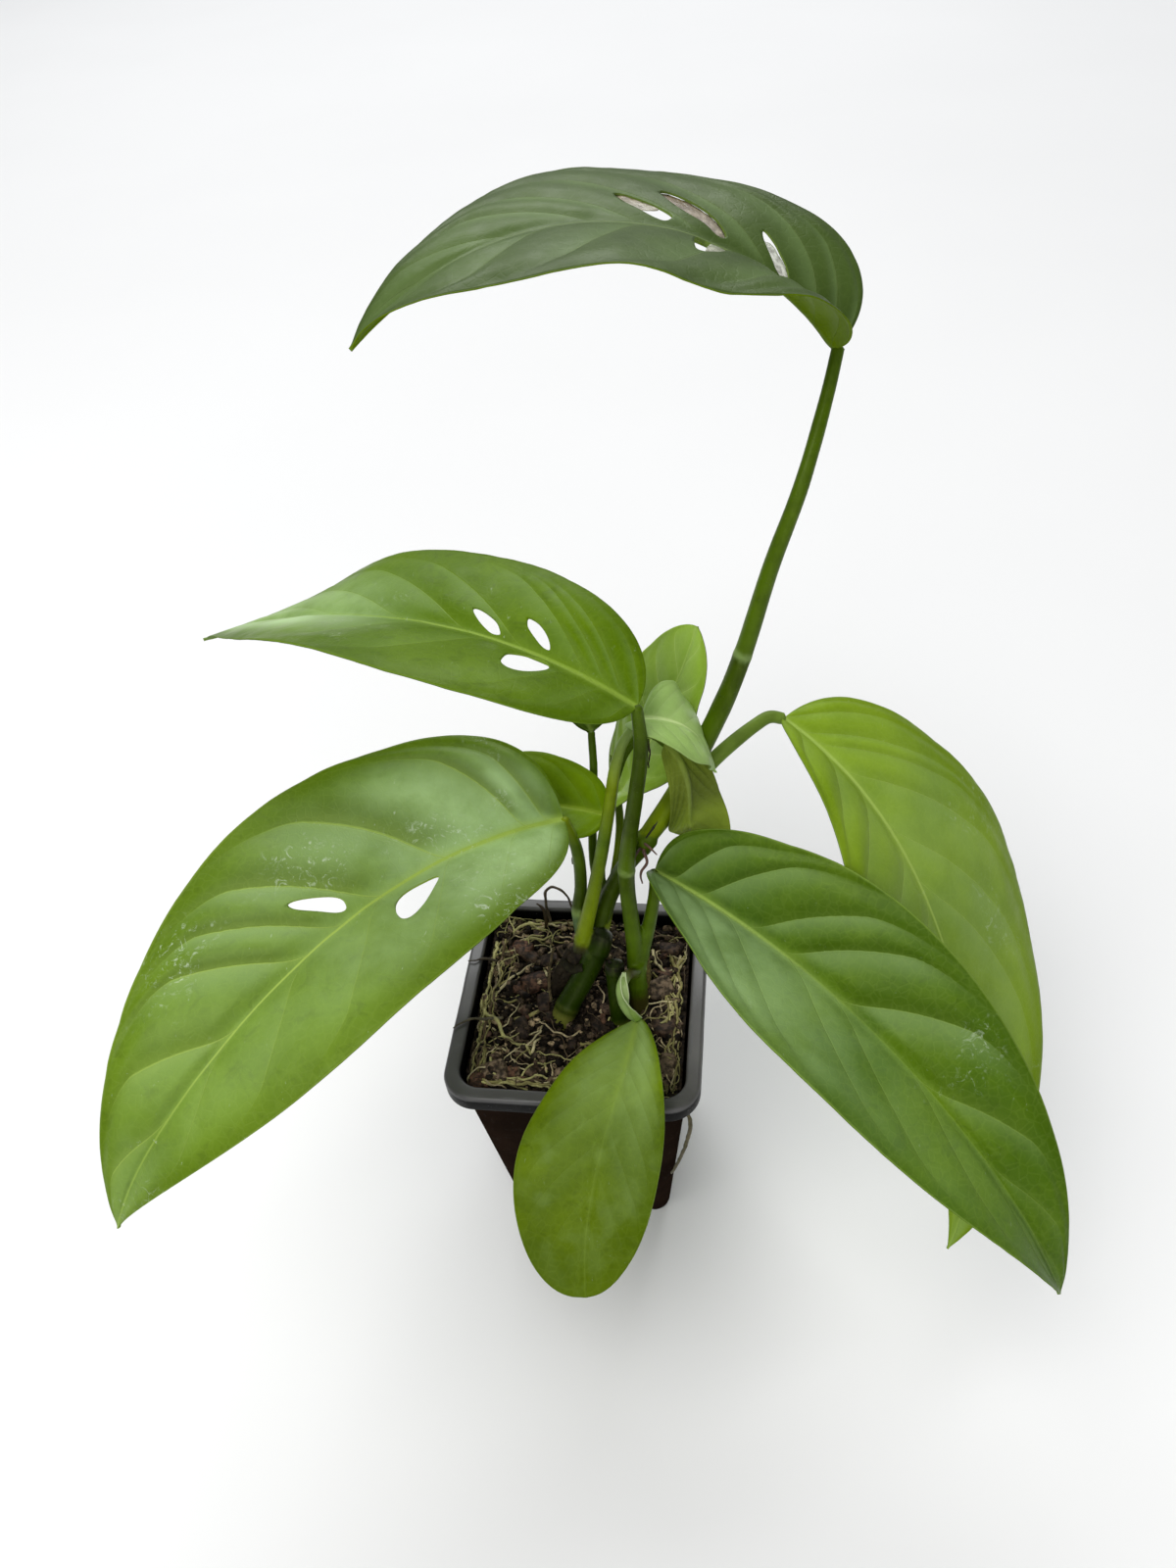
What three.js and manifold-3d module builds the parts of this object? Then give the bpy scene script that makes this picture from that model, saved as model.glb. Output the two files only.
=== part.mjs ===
// Potted swiss cheese vine: two rooted cuttings in a square nursery pot.
// Millimetres, +Z up. The origin is the centre of the pot's underside, and -Y is the front.

import * as THREE from "three";
import { mergeVertices } from "three/addons/utils/BufferGeometryUtils.js";
import Module from "manifold-3d";

const wasm = await Module();
wasm.setup();

// Driving dimensions: the pot
const POT_RIM = 70;
const POT_HEIGHT = 80;
const POT_FOOT = 49;
const LIP_DEPTH = 5.5;
const LIP_TOP = 4.1;
const LIP_OVERHANG = 3.6;
const POT_WALL = 1.0;
const POT_FLOOR = 1.6;
const CORNER_TOP = 9;
const CORNER_FOOT = 5;
const CORNER_STEPS = 5;
const DRAIN_RADIUS = 3.5;
const DRAIN_OFFSET = 13;

// Driving dimensions: the potting mix
const GAP = 0.3;
const SOIL_EDGE = 75;
const SOIL_MOUND = 2.5;
const BUMP = 0.7;
const ROOT_SIDES = 5;
const ROOT_RADIUS = 0.75;
const ROOT_SINK = 0.1;
const BUNDLE_STEPS = 6;
const BUNDLE_PITCH = 1.5;
const BUNDLE_WANDER = 1.1;
const BARK_JITTER = 0.35;
const BARK_TILT = 8;
const BARK_LIFT = 0.1;
const STEM_HOLE = 0.4;

// Driving dimensions: blades and stems
const BLADE = 0.8;
const RIB = 0.7;
const NARROWEST = 0.03;
const STEM_SIDES = 9;
const STEM_STEP = 7;
const HOLE_POINTS = 10;
const HOLE_REACH = 3;

// Leaves. base: where the blade meets its petiole. heading, pitch and roll are degrees at the base,
// half way and at the tip. width: the widest half blade on the left and right of the rib. fold: how far
// both halves rise from the rib, in degrees, at the base, half way and at the tip. curl: how much more
// the blade bends on its way to the margin. widest: where, from 0 to 1, the blade is widest. shoulder
// and point: how full the outline is below and above that. lobe: how far the margin starts behind the
// rib's base. wave: height of the margin's waves on the left and right, with their phase in degrees.
// holes: [along, along half size, across, across half size] in shares of the blade; left is positive.
const LEAVES = {
  leaf_top: {
    base: [62, 62, 241], length: 120, heading: [165, 200, 202], pitch: [52, 9, -41],
    roll: [4, -1, 5], width: [32, 32], fold: [44, 6, 30], curl: -12,
    widest: 0.35, shoulder: 0.54, point: 1.05, lobe: 0.02, wave: [-2.4, 1.1], phase: [-121, 52],
    holes: [
      [0.515, 0.02, -0.28, 0.19],
      [0.41, 0.022, -0.33, 0.24],
      [0.42, 0.025, 0.2, 0.2],
      [0.255, 0.02, -0.24, 0.15],
    ],
  },
  leaf_upper_left: {
    base: [19, 12, 179], length: 149, heading: [159, 159, 154], pitch: [25, -12, -31],
    roll: [-4, 8, 17], width: [31, 27], fold: [23, 21, 7], curl: -17,
    widest: 0.38, shoulder: 0.52, point: 1.16, lobe: 0.02, wave: [0.7, 1.8], phase: [115, 44],
    holes: [
      [0.385, 0.022, -0.16, 0.11],
      [0.28, 0.024, -0.2, 0.12],
      [0.26, 0.03, 0.24, 0.21],
    ],
  },
  leaf_lower_left: {
    base: [-3, 19, 133], length: 159, heading: [206, 235, 213], pitch: [9, -7, -67],
    roll: [-18, -3, -40], width: [32, 41], fold: [32, 12, 16], curl: -13,
    widest: 0.36, shoulder: 0.49, point: 1.14, lobe: 0.02, wave: [-1, 1], phase: [-54, 165],
    holes: [
      [0.525, 0.018, -0.22, 0.15],
      [0.415, 0.045, 0.24, 0.15],
    ],
  },
  leaf_front_right: {
    base: [21, 15, 118], length: 150, heading: [330, 317, 324], pitch: [-3, -15, -67],
    roll: [9, 11, -10], width: [28, 27], fold: [54, 19, 20], curl: 10,
    widest: 0.35, shoulder: 0.49, point: 0.86, lobe: 0.03, wave: [-0.4, 2.4], phase: [-24, 119],
    holes: [],
  },
  leaf_rear_right: {
    base: [54, 41, 150.5], length: 163, heading: [327, 305, 240], pitch: [-14, -57, -27],
    roll: [-17, -8, -28], width: [39, 24], fold: [31, 5, 11], curl: -25,
    widest: 0.37, shoulder: 0.55, point: 1.01, lobe: 0.02, wave: [-1.4, 1.2], phase: [52, 83],
    holes: [],
  },
  leaf_front_small: {
    base: [17, -10, 85], length: 76, heading: [269, 259, 279], pitch: [18, -14, -43],
    roll: [27, 10, 1], width: [16.5, 21], fold: [27, 8, 2], curl: -6,
    widest: 0.58, shoulder: 0.78, point: 0.45, lobe: 0, wave: [0.9, 1], phase: [-44, -31],
    holes: [],
  },
  leaf_rear_upright: {
    base: [9.5, 36.9, 123.0], length: 56.8, heading: [24, 29, 43], pitch: [57, 65, 65],
    roll: [-25, -3, -8], width: [20.8, 18.8], fold: [30, 13, 13], curl: -16,
    widest: 0.38, shoulder: 0.5, point: 0.6, lobe: 0.05, wave: [1, 2.2], phase: [64, -71],
    holes: [],
  },
  leaf_centre: {
    base: [18.4, 22.2, 166.3], length: 30.7, heading: [-32, 12, -22], pitch: [40, -52, -71],
    roll: [2, 0, -11], width: [12.8, 11.8], fold: [36, 12, 6], curl: -21,
    widest: 0.38, shoulder: 0.5, point: 1.15, lobe: 0.04, wave: [0.8, 0.9], phase: [-4, -42],
    holes: [],
  },
  leaf_hanging: {
    base: [24.5, 22.8, 157.4], length: 53, heading: [141, 85, 10], pitch: [-168, -68, -84],
    roll: [20, -36, -18], width: [5.7, 10.7], fold: [22, 12, 9], curl: -12,
    widest: 0.5, shoulder: 0.35, point: 0.5, lobe: 0.02, wave: [0.5, 0.6], phase: [0, 60],
    holes: [],
  },
  leaf_behind_left: {
    base: [6.9, 27.8, 125.7], length: 72, heading: [178, 186, 201], pitch: [19, -11, -36],
    roll: [-11, -11, 0], width: [15.4, 16.4], fold: [22, 15, 8], curl: -19,
    widest: 0.38, shoulder: 0.51, point: 1.15, lobe: 0.04, wave: [1, 1.4], phase: [-5, -45],
    holes: [],
  },
  leaf_rear: {
    base: [1.5, 49, 137], length: 46, heading: [115, 95, 90], pitch: [10, -15, -30],
    roll: [6, 14, -5], width: [10, 10], fold: [40, 18, 7], curl: -15,
    widest: 0.38, shoulder: 0.5, point: 1.15, lobe: 0.04, wave: [1.7, 1], phase: [0, 0],
    holes: [],
  },
};

// Large leaves have more rows and columns than small ones
const LARGE_LEAF = 100;
const ROWS_LARGE = 22;
const ROWS_SMALL = 14;
const HALF_LARGE = 3;
const HALF_SMALL = 2;
const FIRST_ROW = 0.01;
const BLADE_GAP = 0.5;

// Stems and petioles. Each route is [x, y, z, radius], from the root or parent outwards.
const VINE_LEFT = [
  // old cane, from inside the mix to its top node
  [[-8, -10, 68, 3.3], [-4, -4, 79, 3.4], [1, 1.5, 87, 3.3], [5.5, 6.5, 96, 3.5], [6.5, 8, 99, 3]],
  // young cane, up to the fork
  [[4, 8, 92, 2.6], [7.5, 15, 105, 2.5], [13, 17.5, 117, 2.5], [19.5, 16, 130, 3.1]],
  // petiole of the top leaf
  [[18, 16.5, 127, 2.6], [27, 21, 142, 2.7], [38, 30, 163.5, 2.6], [43, 32.5, 178.5, 2.3],
    [49, 37, 201, 2.0], [55, 43.5, 218, 1.8], [60, 56, 233, 1.6], [62, 62, 241, 1.5]],
  // petiole of the rear right leaf
  [[19, 16, 129, 2.2], [27, 22, 137.5, 2.3], [35.5, 29.5, 145, 2.1], [46.5, 38, 150.5, 1.8],
    [50.5, 40.5, 151.5, 1.7], [54, 41, 150.5, 1.6]],
  // petiole of the hanging leaf
  [[11.5, 16.5, 150, 1.4], [14.5, 21.5, 156, 1.3], [19, 25.4, 158.7, 1.2], [22, 24.8, 158.2, 1.2],
    [24.1, 23.1, 157.5, 1.1]],
  // petiole of the small leaf in the centre
  [[0, 5.5, 94, 2.4], [2.5, 9, 104, 2.1], [6.5, 13, 122, 1.8], [10, 15.5, 141, 1.7],
    [12.5, 16.5, 156, 1.5], [14.6, 18.6, 162.1, 1.3], [17.9, 21.9, 165.7, 1]],
  // petiole of the lower left leaf
  [[1, 7, 94, 1.9], [-0.5, 12, 103, 1.9], [0.5, 14.5, 111, 1.8], [0, 17, 124, 1.7],
    [-3, 19, 133, 1.5]],
  // petiole of the rear leaf
  [[5, 8, 95, 1.8], [6.8, 15.6, 101.3, 1.7], [3.4, 23.1, 107.6, 1.4], [2.4, 29.1, 113.6, 1.3],
    [2.3, 42.4, 128.9, 1.2], [1.5, 49, 137, 1.1]],
  // petiole of the leaf behind the lower left one
  [[4, 8, 95, 1.6], [5.6, 14.8, 102.2, 1.5], [5.5, 20.8, 113.2, 1.3], [6.6, 26.4, 123.2, 1.1]],
  // petiole of the upright rear leaf
  [[6, 9, 95, 1.6], [9, 20, 108, 1.4], [10.2, 31.0, 115.8, 1.3], [9.5, 36.4, 122.3, 1.1]],
];

const VINE_RIGHT = [
  // short rooted node
  [[16.5, -1, 66, 2.7], [16.5, 0, 78, 2.7], [16, 1.5, 88, 2.9], [16, 3, 93, 2.6]],
  // stem and petiole of the upper left leaf
  [[15.5, 1.5, 86, 2.2], [15.5, 5, 98, 2.3], [14, 10, 115, 2.2], [14, 11, 123, 2.3],
    [15.5, 12, 136, 2.1], [17.5, 12.3, 149.7, 2], [19.6, 11, 167.4, 1.8], [19, 12, 179, 1.5]],
  // petiole of the front right leaf
  [[16.5, 2, 87, 2.2], [17.5, 5, 95, 2.2], [19.5, 9, 103, 1.9], [21, 13, 112, 1.7],
    [21, 15, 118, 1.5]],
  // winged petiole of the small front leaf
  [[16, 0, 92, 1.5], [14, -3.5, 95.5, 1.5], [12.7, -6.5, 94, 1.5], [13.3, -9, 90.5, 1.4],
    [15.5, -10.5, 87, 1.3], [17, -10, 85, 1.2]],
];

const STEM_STUB = [
  [[11.8, -7.5, 66, 2.5], [11.2, -5.3, 82, 2.5], [10.5, -1.8, 91, 2.5], [10.3, 0, 96, 2.7]],
];

// Roots on the mix: [x, y] points that they follow, all a little sunk. Bundles run along the walls.
const WALL_BUNDLES = [
  { from: [-28.3, 20], to: [-28.3, -27], count: 3 },
  { from: [28.3, 18], to: [28.3, -27], count: 3 },
  { from: [-26, -28.3], to: [8, -28.3], count: 2 },
  { from: [-20, 28.3], to: [10, 28.3], count: 1 },
];
const LOOSE_ROOTS = [
  [[-27, 2], [-20, 6], [-13, 12], [-9, 16]],
  [[-27, -8], [-22, -11], [-17, -17], [-9, -18], [-5, -23]],
  [[-26, 13], [-18, 15], [-12, 14]],
  [[-17, -16], [-19, -22], [-15, -27], [-8, -28]],
  [[-26, -3], [-17, -3.5], [-10, -6]],
  [[24, 3], [26, -2], [22, -7], [18, -3]],
  [[27, -16], [22, -19], [24, -25], [19, -28]],
  [[20, 14], [24, 8], [21, 4]],
  [[-22, 24], [-15, 21], [-11, 24]],
  [[1, -14], [6, -16], [7, -22]],
];

// Pieces of bark: [x, y, turn, length, width, height]
const BARK = [
  [-14, 5, 30, 9, 6, 2.6], [-8, -4.5, 75, 7, 4, 2.8], [-5, 18, 10, 9, 5, 2.4], [8, -16, 140, 8, 4, 2.4],
  [23, 11, 20, 8, 6, 2.6], [24, -6.5, 100, 8, 7, 2.4], [-22, -24, 15, 8, 6, 2.4], [24, -21, 60, 7, 5, 2.4],
  [-20, 18, 160, 7, 4, 2.4], [13, 24, 40, 9, 5, 2.4], [-2, -24, 170, 7, 4, 2], [-16, -10, 110, 6, 4, 2.2],
];

// Colours
const LEAF_GREEN = 0x4f7d22;
const STEM_GREEN = 0x4a6b22;
const SOIL_BROWN = 0x33261d;
const POT_BLACK = 0x2b2c2e;

const vec = (p) => new THREE.Vector3(p[0], p[1], p[2]);
const rad = THREE.MathUtils.degToRad;

// Repeatable pseudo-random numbers from 0 to 1
function makeRandom(seed) {
  let state = seed;
  return () => {
    state = (state * 1664525 + 1013904223) % 4294967296;
    return state / 4294967296;
  };
}

// A value given at the start, the middle and the end, as a smooth curve over u from 0 to 1
function smooth3([a, b, c], u) {
  return a * (1 - u) * (1 - 2 * u) + b * 4 * u * (1 - u) + c * u * (2 * u - 1);
}

// Closed body from rings that all have the same number of points, with both ends closed
function loft(rings) {
  const count = rings[0].length;
  const positions = rings.flat().flatMap((p) => [p.x, p.y, p.z]);
  const index = [];
  for (let r = 0; r < rings.length - 1; r++) {
    for (let i = 0; i < count; i++) {
      const a = r * count + i;
      const b = r * count + ((i + 1) % count);
      index.push(a, b, b + count, a, b + count, a + count);
    }
  }
  for (const [ring, flip] of [[0, true], [rings.length - 1, false]]) {
    const centre = positions.length / 3;
    const middle = new THREE.Vector3();
    rings[ring].forEach((p) => middle.add(p));
    middle.divideScalar(count);
    positions.push(middle.x, middle.y, middle.z);
    for (let i = 0; i < count; i++) {
      const a = ring * count + i;
      const b = ring * count + ((i + 1) % count);
      index.push(...(flip ? [centre, b, a] : [centre, a, b]));
    }
  }
  return { positions, index };
}

function toSolid({ positions, index }) {
  const mesh = new wasm.Mesh({
    numProp: 3,
    vertProperties: Float32Array.from(positions),
    triVerts: Uint32Array.from(index),
  });
  return new wasm.Manifold(mesh);
}

// A geometry with shared corners
function weld(geometry) {
  geometry.deleteAttribute("normal");
  geometry.deleteAttribute("uv");
  return mergeVertices(geometry);
}

function geometryToSolid(geometry) {
  const welded = weld(geometry);
  return toSolid({ positions: welded.attributes.position.array, index: welded.index.array });
}

function toGeometry(solid) {
  const mesh = solid.getMesh();
  const geometry = new THREE.BufferGeometry();
  geometry.setAttribute("position", new THREE.BufferAttribute(Float32Array.from(mesh.vertProperties), 3));
  geometry.setIndex(new THREE.BufferAttribute(Uint32Array.from(mesh.triVerts), 1));
  geometry.computeVertexNormals();
  return geometry;
}

function joinAll(solids) {
  return solids.reduce((whole, solid) => whole.add(solid));
}

// The largest body of a solid, without loose scraps
function mainBody(solid) {
  return solid.decompose().reduce((best, part) => (part.volume() > best.volume() ? part : best));
}

// Square ring with round corners, anticlockwise seen from above
function squareRing(half, corner, heightAt) {
  const ring = [];
  for (let quarter = 0; quarter < 4; quarter++) {
    const start = (quarter * Math.PI) / 2;
    const cx = (half - corner) * (quarter === 0 || quarter === 3 ? 1 : -1);
    const cy = (half - corner) * (quarter < 2 ? 1 : -1);
    for (let i = 0; i <= CORNER_STEPS; i++) {
      const turn = start + (i / CORNER_STEPS) * (Math.PI / 2);
      const x = cx + corner * Math.cos(turn);
      const y = cy + corner * Math.sin(turn);
      ring.push(new THREE.Vector3(x, y, heightAt(x, y)));
    }
  }
  return ring;
}

const POT_HALF = POT_RIM / 2;
const BODY_TOP = POT_HALF - LIP_OVERHANG;
const BODY_SLOPE = (BODY_TOP - POT_FOOT / 2) / (POT_HEIGHT - LIP_DEPTH);
const bodyHalf = (z) => POT_FOOT / 2 + BODY_SLOPE * z;
const bodyCorner = (z) => CORNER_FOOT + ((CORNER_TOP - LIP_OVERHANG / 2 - CORNER_FOOT) * z) / POT_HEIGHT;

function makePot() {
  const soften = 0.6;
  const lipFoot = POT_HEIGHT - LIP_DEPTH;
  const inner = POT_HALF - LIP_TOP;
  const profile = [
    [bodyHalf(0) - soften, CORNER_FOOT - soften, 0],
    [bodyHalf(soften), CORNER_FOOT, soften],
    [BODY_TOP, bodyCorner(lipFoot), lipFoot],
    [POT_HALF - soften, CORNER_TOP - soften, lipFoot],
    [POT_HALF, CORNER_TOP, lipFoot + soften],
    [POT_HALF, CORNER_TOP, POT_HEIGHT - soften],
    [POT_HALF - soften, CORNER_TOP - soften, POT_HEIGHT],
    [inner + soften, bodyCorner(POT_HEIGHT) - POT_WALL + soften, POT_HEIGHT],
    [inner, bodyCorner(POT_HEIGHT) - POT_WALL, POT_HEIGHT - soften],
    [bodyHalf(lipFoot) - POT_WALL, bodyCorner(lipFoot) - POT_WALL, lipFoot],
    [bodyHalf(POT_FLOOR) - POT_WALL, CORNER_FOOT - POT_WALL, POT_FLOOR],
  ];
  let pot = toSolid(loft(profile.map(([half, corner, z]) => squareRing(half, corner, () => z))));
  for (const x of [-DRAIN_OFFSET, DRAIN_OFFSET]) {
    for (const y of [-DRAIN_OFFSET, DRAIN_OFFSET]) {
      const hole = new THREE.CylinderGeometry(DRAIN_RADIUS, DRAIN_RADIUS, POT_FLOOR * 4, 12);
      hole.rotateX(Math.PI / 2);
      hole.translate(x, y, 0);
      pot = pot.subtract(geometryToSolid(hole));
    }
  }
  return pot;
}

// Height of the mix: a low mound with lumps that fade out at the wall
function soilHeight(x, y) {
  const share = Math.min(1, Math.max(Math.abs(x), Math.abs(y)) / POT_HALF);
  const lumps = Math.sin(x * 0.71 + 1.3) * Math.cos(y * 0.63) + 0.6 * Math.sin(x * 1.1 - y * 0.9 + 2);
  return SOIL_EDGE + SOIL_MOUND * (1 - share * share) + BUMP * lumps * (1 - share ** 4);
}

// Tube along a smooth route of [x, y, z, radius] points
function makeTube(route, sides, step, grow = 0) {
  const curve = new THREE.CatmullRomCurve3(route.map(vec), false, "centripetal");
  const steps = Math.max(2, Math.round(curve.getLength() / step));
  const frames = curve.computeFrenetFrames(steps, false);
  const rings = [];
  for (let i = 0; i <= steps; i++) {
    const u = i / steps;
    const centre = curve.getPointAt(u);
    const place = curve.getUtoTmapping(u) * (route.length - 1);
    const from = Math.min(Math.floor(place), route.length - 2);
    const radius = THREE.MathUtils.lerp(route[from][3], route[from + 1][3], place - from) + grow;
    const ring = [];
    for (let s = 0; s < sides; s++) {
      const turn = (s / sides) * Math.PI * 2;
      const across = frames.normals[i].clone().multiplyScalar(Math.cos(turn) * radius);
      const up = frames.binormals[i].clone().multiplyScalar(Math.sin(turn) * radius);
      ring.push(centre.clone().add(across).add(up));
    }
    rings.push(ring);
  }
  return toSolid(loft(rings));
}

function onSoil(points) {
  return points.map(([x, y]) => [x, y, soilHeight(x, y) - ROOT_SINK, ROOT_RADIUS]);
}

// Roots that run along a wall, side by side with a seeded wander
function bundleRoots(bundle, random) {
  const roots = [];
  for (let i = 0; i < bundle.count; i++) {
    const points = [];
    for (let s = 0; s <= BUNDLE_STEPS; s++) {
      const x = THREE.MathUtils.lerp(bundle.from[0], bundle.to[0], s / BUNDLE_STEPS);
      const y = THREE.MathUtils.lerp(bundle.from[1], bundle.to[1], s / BUNDLE_STEPS);
      const inwards = i * BUNDLE_PITCH + random() * BUNDLE_WANDER;
      const alongY = bundle.from[0] === bundle.to[0];
      points.push(alongY ? [x - Math.sign(x) * inwards, y] : [x, y - Math.sign(y) * inwards]);
    }
    roots.push(points);
  }
  return roots;
}

function makeBark([x, y, turn, length, width, height], random) {
  const chip = weld(new THREE.BoxGeometry(length, width, height));
  const corners = chip.attributes.position;
  for (let i = 0; i < corners.count; i++) {
    const scale = 1 - BARK_JITTER * random();
    corners.setXY(i, corners.getX(i) * scale, corners.getY(i) * scale);
  }
  chip.rotateX(rad(BARK_TILT * (2 * random() - 1)));
  chip.rotateY(rad(BARK_TILT * (2 * random() - 1)));
  chip.rotateZ(rad(turn));
  chip.translate(x, y, soilHeight(x, y) + height * BARK_LIFT);
  return toSolid({ positions: corners.array, index: chip.index.array });
}

// The same route, started a little deeper
function deeper([start, next, ...rest]) {
  const back = vec(start).sub(vec(next)).setLength(STEM_HOLE).add(vec(start));
  return [[back.x, back.y, back.z, start[3]], next, ...rest];
}

function makeSoil(stemRoutes) {
  const half = (z) => bodyHalf(z) - POT_WALL - GAP;
  const corner = (z) => bodyCorner(z) - POT_WALL - GAP;
  const floor = POT_FLOOR + GAP;
  const rings = [
    squareRing(half(floor), CORNER_FOOT - POT_WALL - GAP, () => floor),
    squareRing(half(SOIL_EDGE) - GAP, corner(SOIL_EDGE), () => SOIL_EDGE - 1.5),
  ];
  for (const share of [0.97, 0.86, 0.72, 0.56, 0.38, 0.18]) {
    rings.push(squareRing(half(SOIL_EDGE) * share, corner(SOIL_EDGE) * share, soilHeight));
  }
  const random = makeRandom(7);
  const pieces = [toSolid(loft(rings))];
  for (const points of WALL_BUNDLES.flatMap((bundle) => bundleRoots(bundle, random))) {
    pieces.push(makeTube(onSoil(points), ROOT_SIDES, 7));
  }
  for (const points of LOOSE_ROOTS) {
    pieces.push(makeTube(onSoil(points), ROOT_SIDES, 4));
  }
  BARK.forEach((chip) => pieces.push(makeBark(chip, random)));
  const soil = joinAll(pieces);
  const holes = stemRoutes.map((route) => makeTube(deeper(route), STEM_SIDES, STEM_STEP, STEM_HOLE));
  return mainBody(soil.subtract(joinAll(holes)));
}

// A leaf blade as a surface: along runs from base to tip and across from -1 to 1
class Blade {
  constructor(leaf) {
    this.leaf = leaf;
    const steps = 48;
    this.rib = [vec(leaf.base)];
    for (let i = 0; i < steps; i++) {
      const ahead = this.direction((i + 0.5) / steps).multiplyScalar(leaf.length / steps);
      this.rib.push(this.rib[i].clone().add(ahead));
    }
  }

  direction(u) {
    const heading = rad(smooth3(this.leaf.heading, u));
    const pitch = rad(smooth3(this.leaf.pitch, u));
    const level = Math.cos(pitch);
    return new THREE.Vector3(level * Math.cos(heading), level * Math.sin(heading), Math.sin(pitch));
  }

  ribPoint(u) {
    const inside = THREE.MathUtils.clamp(u, 0, 1);
    const place = inside * (this.rib.length - 1);
    const from = Math.min(Math.floor(place), this.rib.length - 2);
    const point = this.rib[from].clone().lerp(this.rib[from + 1], place - from);
    return point.add(this.direction(inside).multiplyScalar((u - inside) * this.leaf.length));
  }

  // Share of the full half width at a place along the blade
  outline(u) {
    const { widest, shoulder, point } = this.leaf;
    const share = u < widest
      ? Math.sin((Math.PI / 2) * (u / widest)) ** shoulder
      : Math.max(0, Math.cos((Math.PI / 2) * ((u - widest) / (1 - widest)))) ** point;
    return Math.max(share, NARROWEST);
  }

  // Rows follow the side veins: they leave the rib early and reach the margin further on
  point(u, k) {
    const { leaf } = this;
    const lobed = 0.2;
    const sweep = 0.12;
    const back = u < lobed ? 4 * leaf.lobe * (u / lobed) * (1 - u / lobed) : 0;
    const atRib = u - 4 * sweep * u * (1 - u);
    const along = atRib + (u - back - atRib) * Math.abs(k) ** 1.5;
    const side = k > 0 ? 0 : 1;
    const across = leaf.width[side] * this.outline(u) * Math.abs(k);
    const inside = THREE.MathUtils.clamp(along, 0, 1);
    const ahead = this.direction(inside);
    const heading = rad(smooth3(leaf.heading, inside));
    const level = new THREE.Vector3(-Math.sin(heading), Math.cos(heading), 0);
    level.applyAxisAngle(ahead, rad(smooth3(leaf.roll, inside)));
    const up = ahead.clone().cross(level);
    const rise = rad(smooth3(leaf.fold, inside) + (leaf.curl * Math.abs(k)) / 2);
    const swing = 2 * Math.PI * 2 * along + rad(leaf.phase[side]);
    const wave = leaf.wave[side] * k * k * Math.sin(swing) * Math.sin(Math.PI * inside);
    const point = this.ribPoint(along);
    point.addScaledVector(level, Math.sign(k) * across * Math.cos(rise));
    return point.addScaledVector(up, across * Math.sin(rise) + wave);
  }

  normal(u, k) {
    const d = 0.02;
    const alongBlade = this.point(Math.min(u + d, 1), k).sub(this.point(Math.max(u - d, 0), k));
    const acrossBlade = this.point(u, Math.min(k + d, 1)).sub(this.point(u, Math.max(k - d, -1)));
    return alongBlade.cross(acrossBlade).normalize();
  }

  // The blade with its thickness, which grows towards the rib
  solid() {
    const large = this.leaf.length > LARGE_LEAF;
    const rows = large ? ROWS_LARGE : ROWS_SMALL;
    const half = large ? HALF_LARGE : HALF_SMALL;
    const loops = [];
    for (let i = 0; i <= rows; i++) {
      const u = FIRST_ROW + (1 - FIRST_ROW) * (0.5 - 0.5 * Math.cos((Math.PI * i) / rows));
      const top = [];
      const bottom = [];
      for (let j = half; j >= -half; j--) {
        const k = j / half;
        const up = this.normal(THREE.MathUtils.clamp(u, 0.05, 0.95), k);
        const thick = BLADE + (j === 0 ? RIB * (1 - 0.7 * u) : 0);
        const place = this.point(u, k);
        top.push(place.clone());
        bottom.unshift(place.addScaledVector(up, -thick));
      }
      loops.push([...top, ...bottom]);
    }
    return toSolid(bladeMesh(loops, half));
  }

  hole([u, halfAlong, k, halfAcross]) {
    const upper = [];
    const lower = [];
    for (let i = 0; i < HOLE_POINTS; i++) {
      const turn = (i / HOLE_POINTS) * Math.PI * 2;
      const along = u + halfAlong * Math.sin(turn);
      const across = k + halfAcross * Math.cos(turn);
      const place = this.point(along, across);
      const reach = this.normal(along, across).multiplyScalar(HOLE_REACH);
      upper.push(place.clone().add(reach));
      lower.push(place.sub(reach));
    }
    return toSolid(loft([upper, lower]));
  }
}

// Mesh of a blade from its loops, with the end loops closed across from the top to the bottom
function bladeMesh(loops, half) {
  const count = loops[0].length;
  const wide = half * 2 + 1;
  const positions = loops.flat().flatMap((p) => [p.x, p.y, p.z]);
  const index = [];
  for (let r = 0; r < loops.length - 1; r++) {
    for (let i = 0; i < count; i++) {
      const a = r * count + i;
      const b = r * count + ((i + 1) % count);
      const under = i >= wide && i < count - 1;
      if (under) {
        index.push(a, b, a + count, b, b + count, a + count);
      } else {
        index.push(a, b, b + count, a, b + count, a + count);
      }
    }
  }
  const last = (loops.length - 1) * count;
  for (let j = 0; j < wide - 1; j++) {
    const a = j;
    const b = j + 1;
    const c = count - 2 - j;
    const d = count - 1 - j;
    index.push(a, d, c, a, c, b);
    index.push(last + a, last + c, last + d, last + a, last + b, last + c);
  }
  return { positions, index };
}

function makeLeaf(leaf) {
  const blade = new Blade(leaf);
  return leaf.holes.reduce((solid, hole) => solid.subtract(blade.hole(hole)), blade.solid());
}

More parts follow.
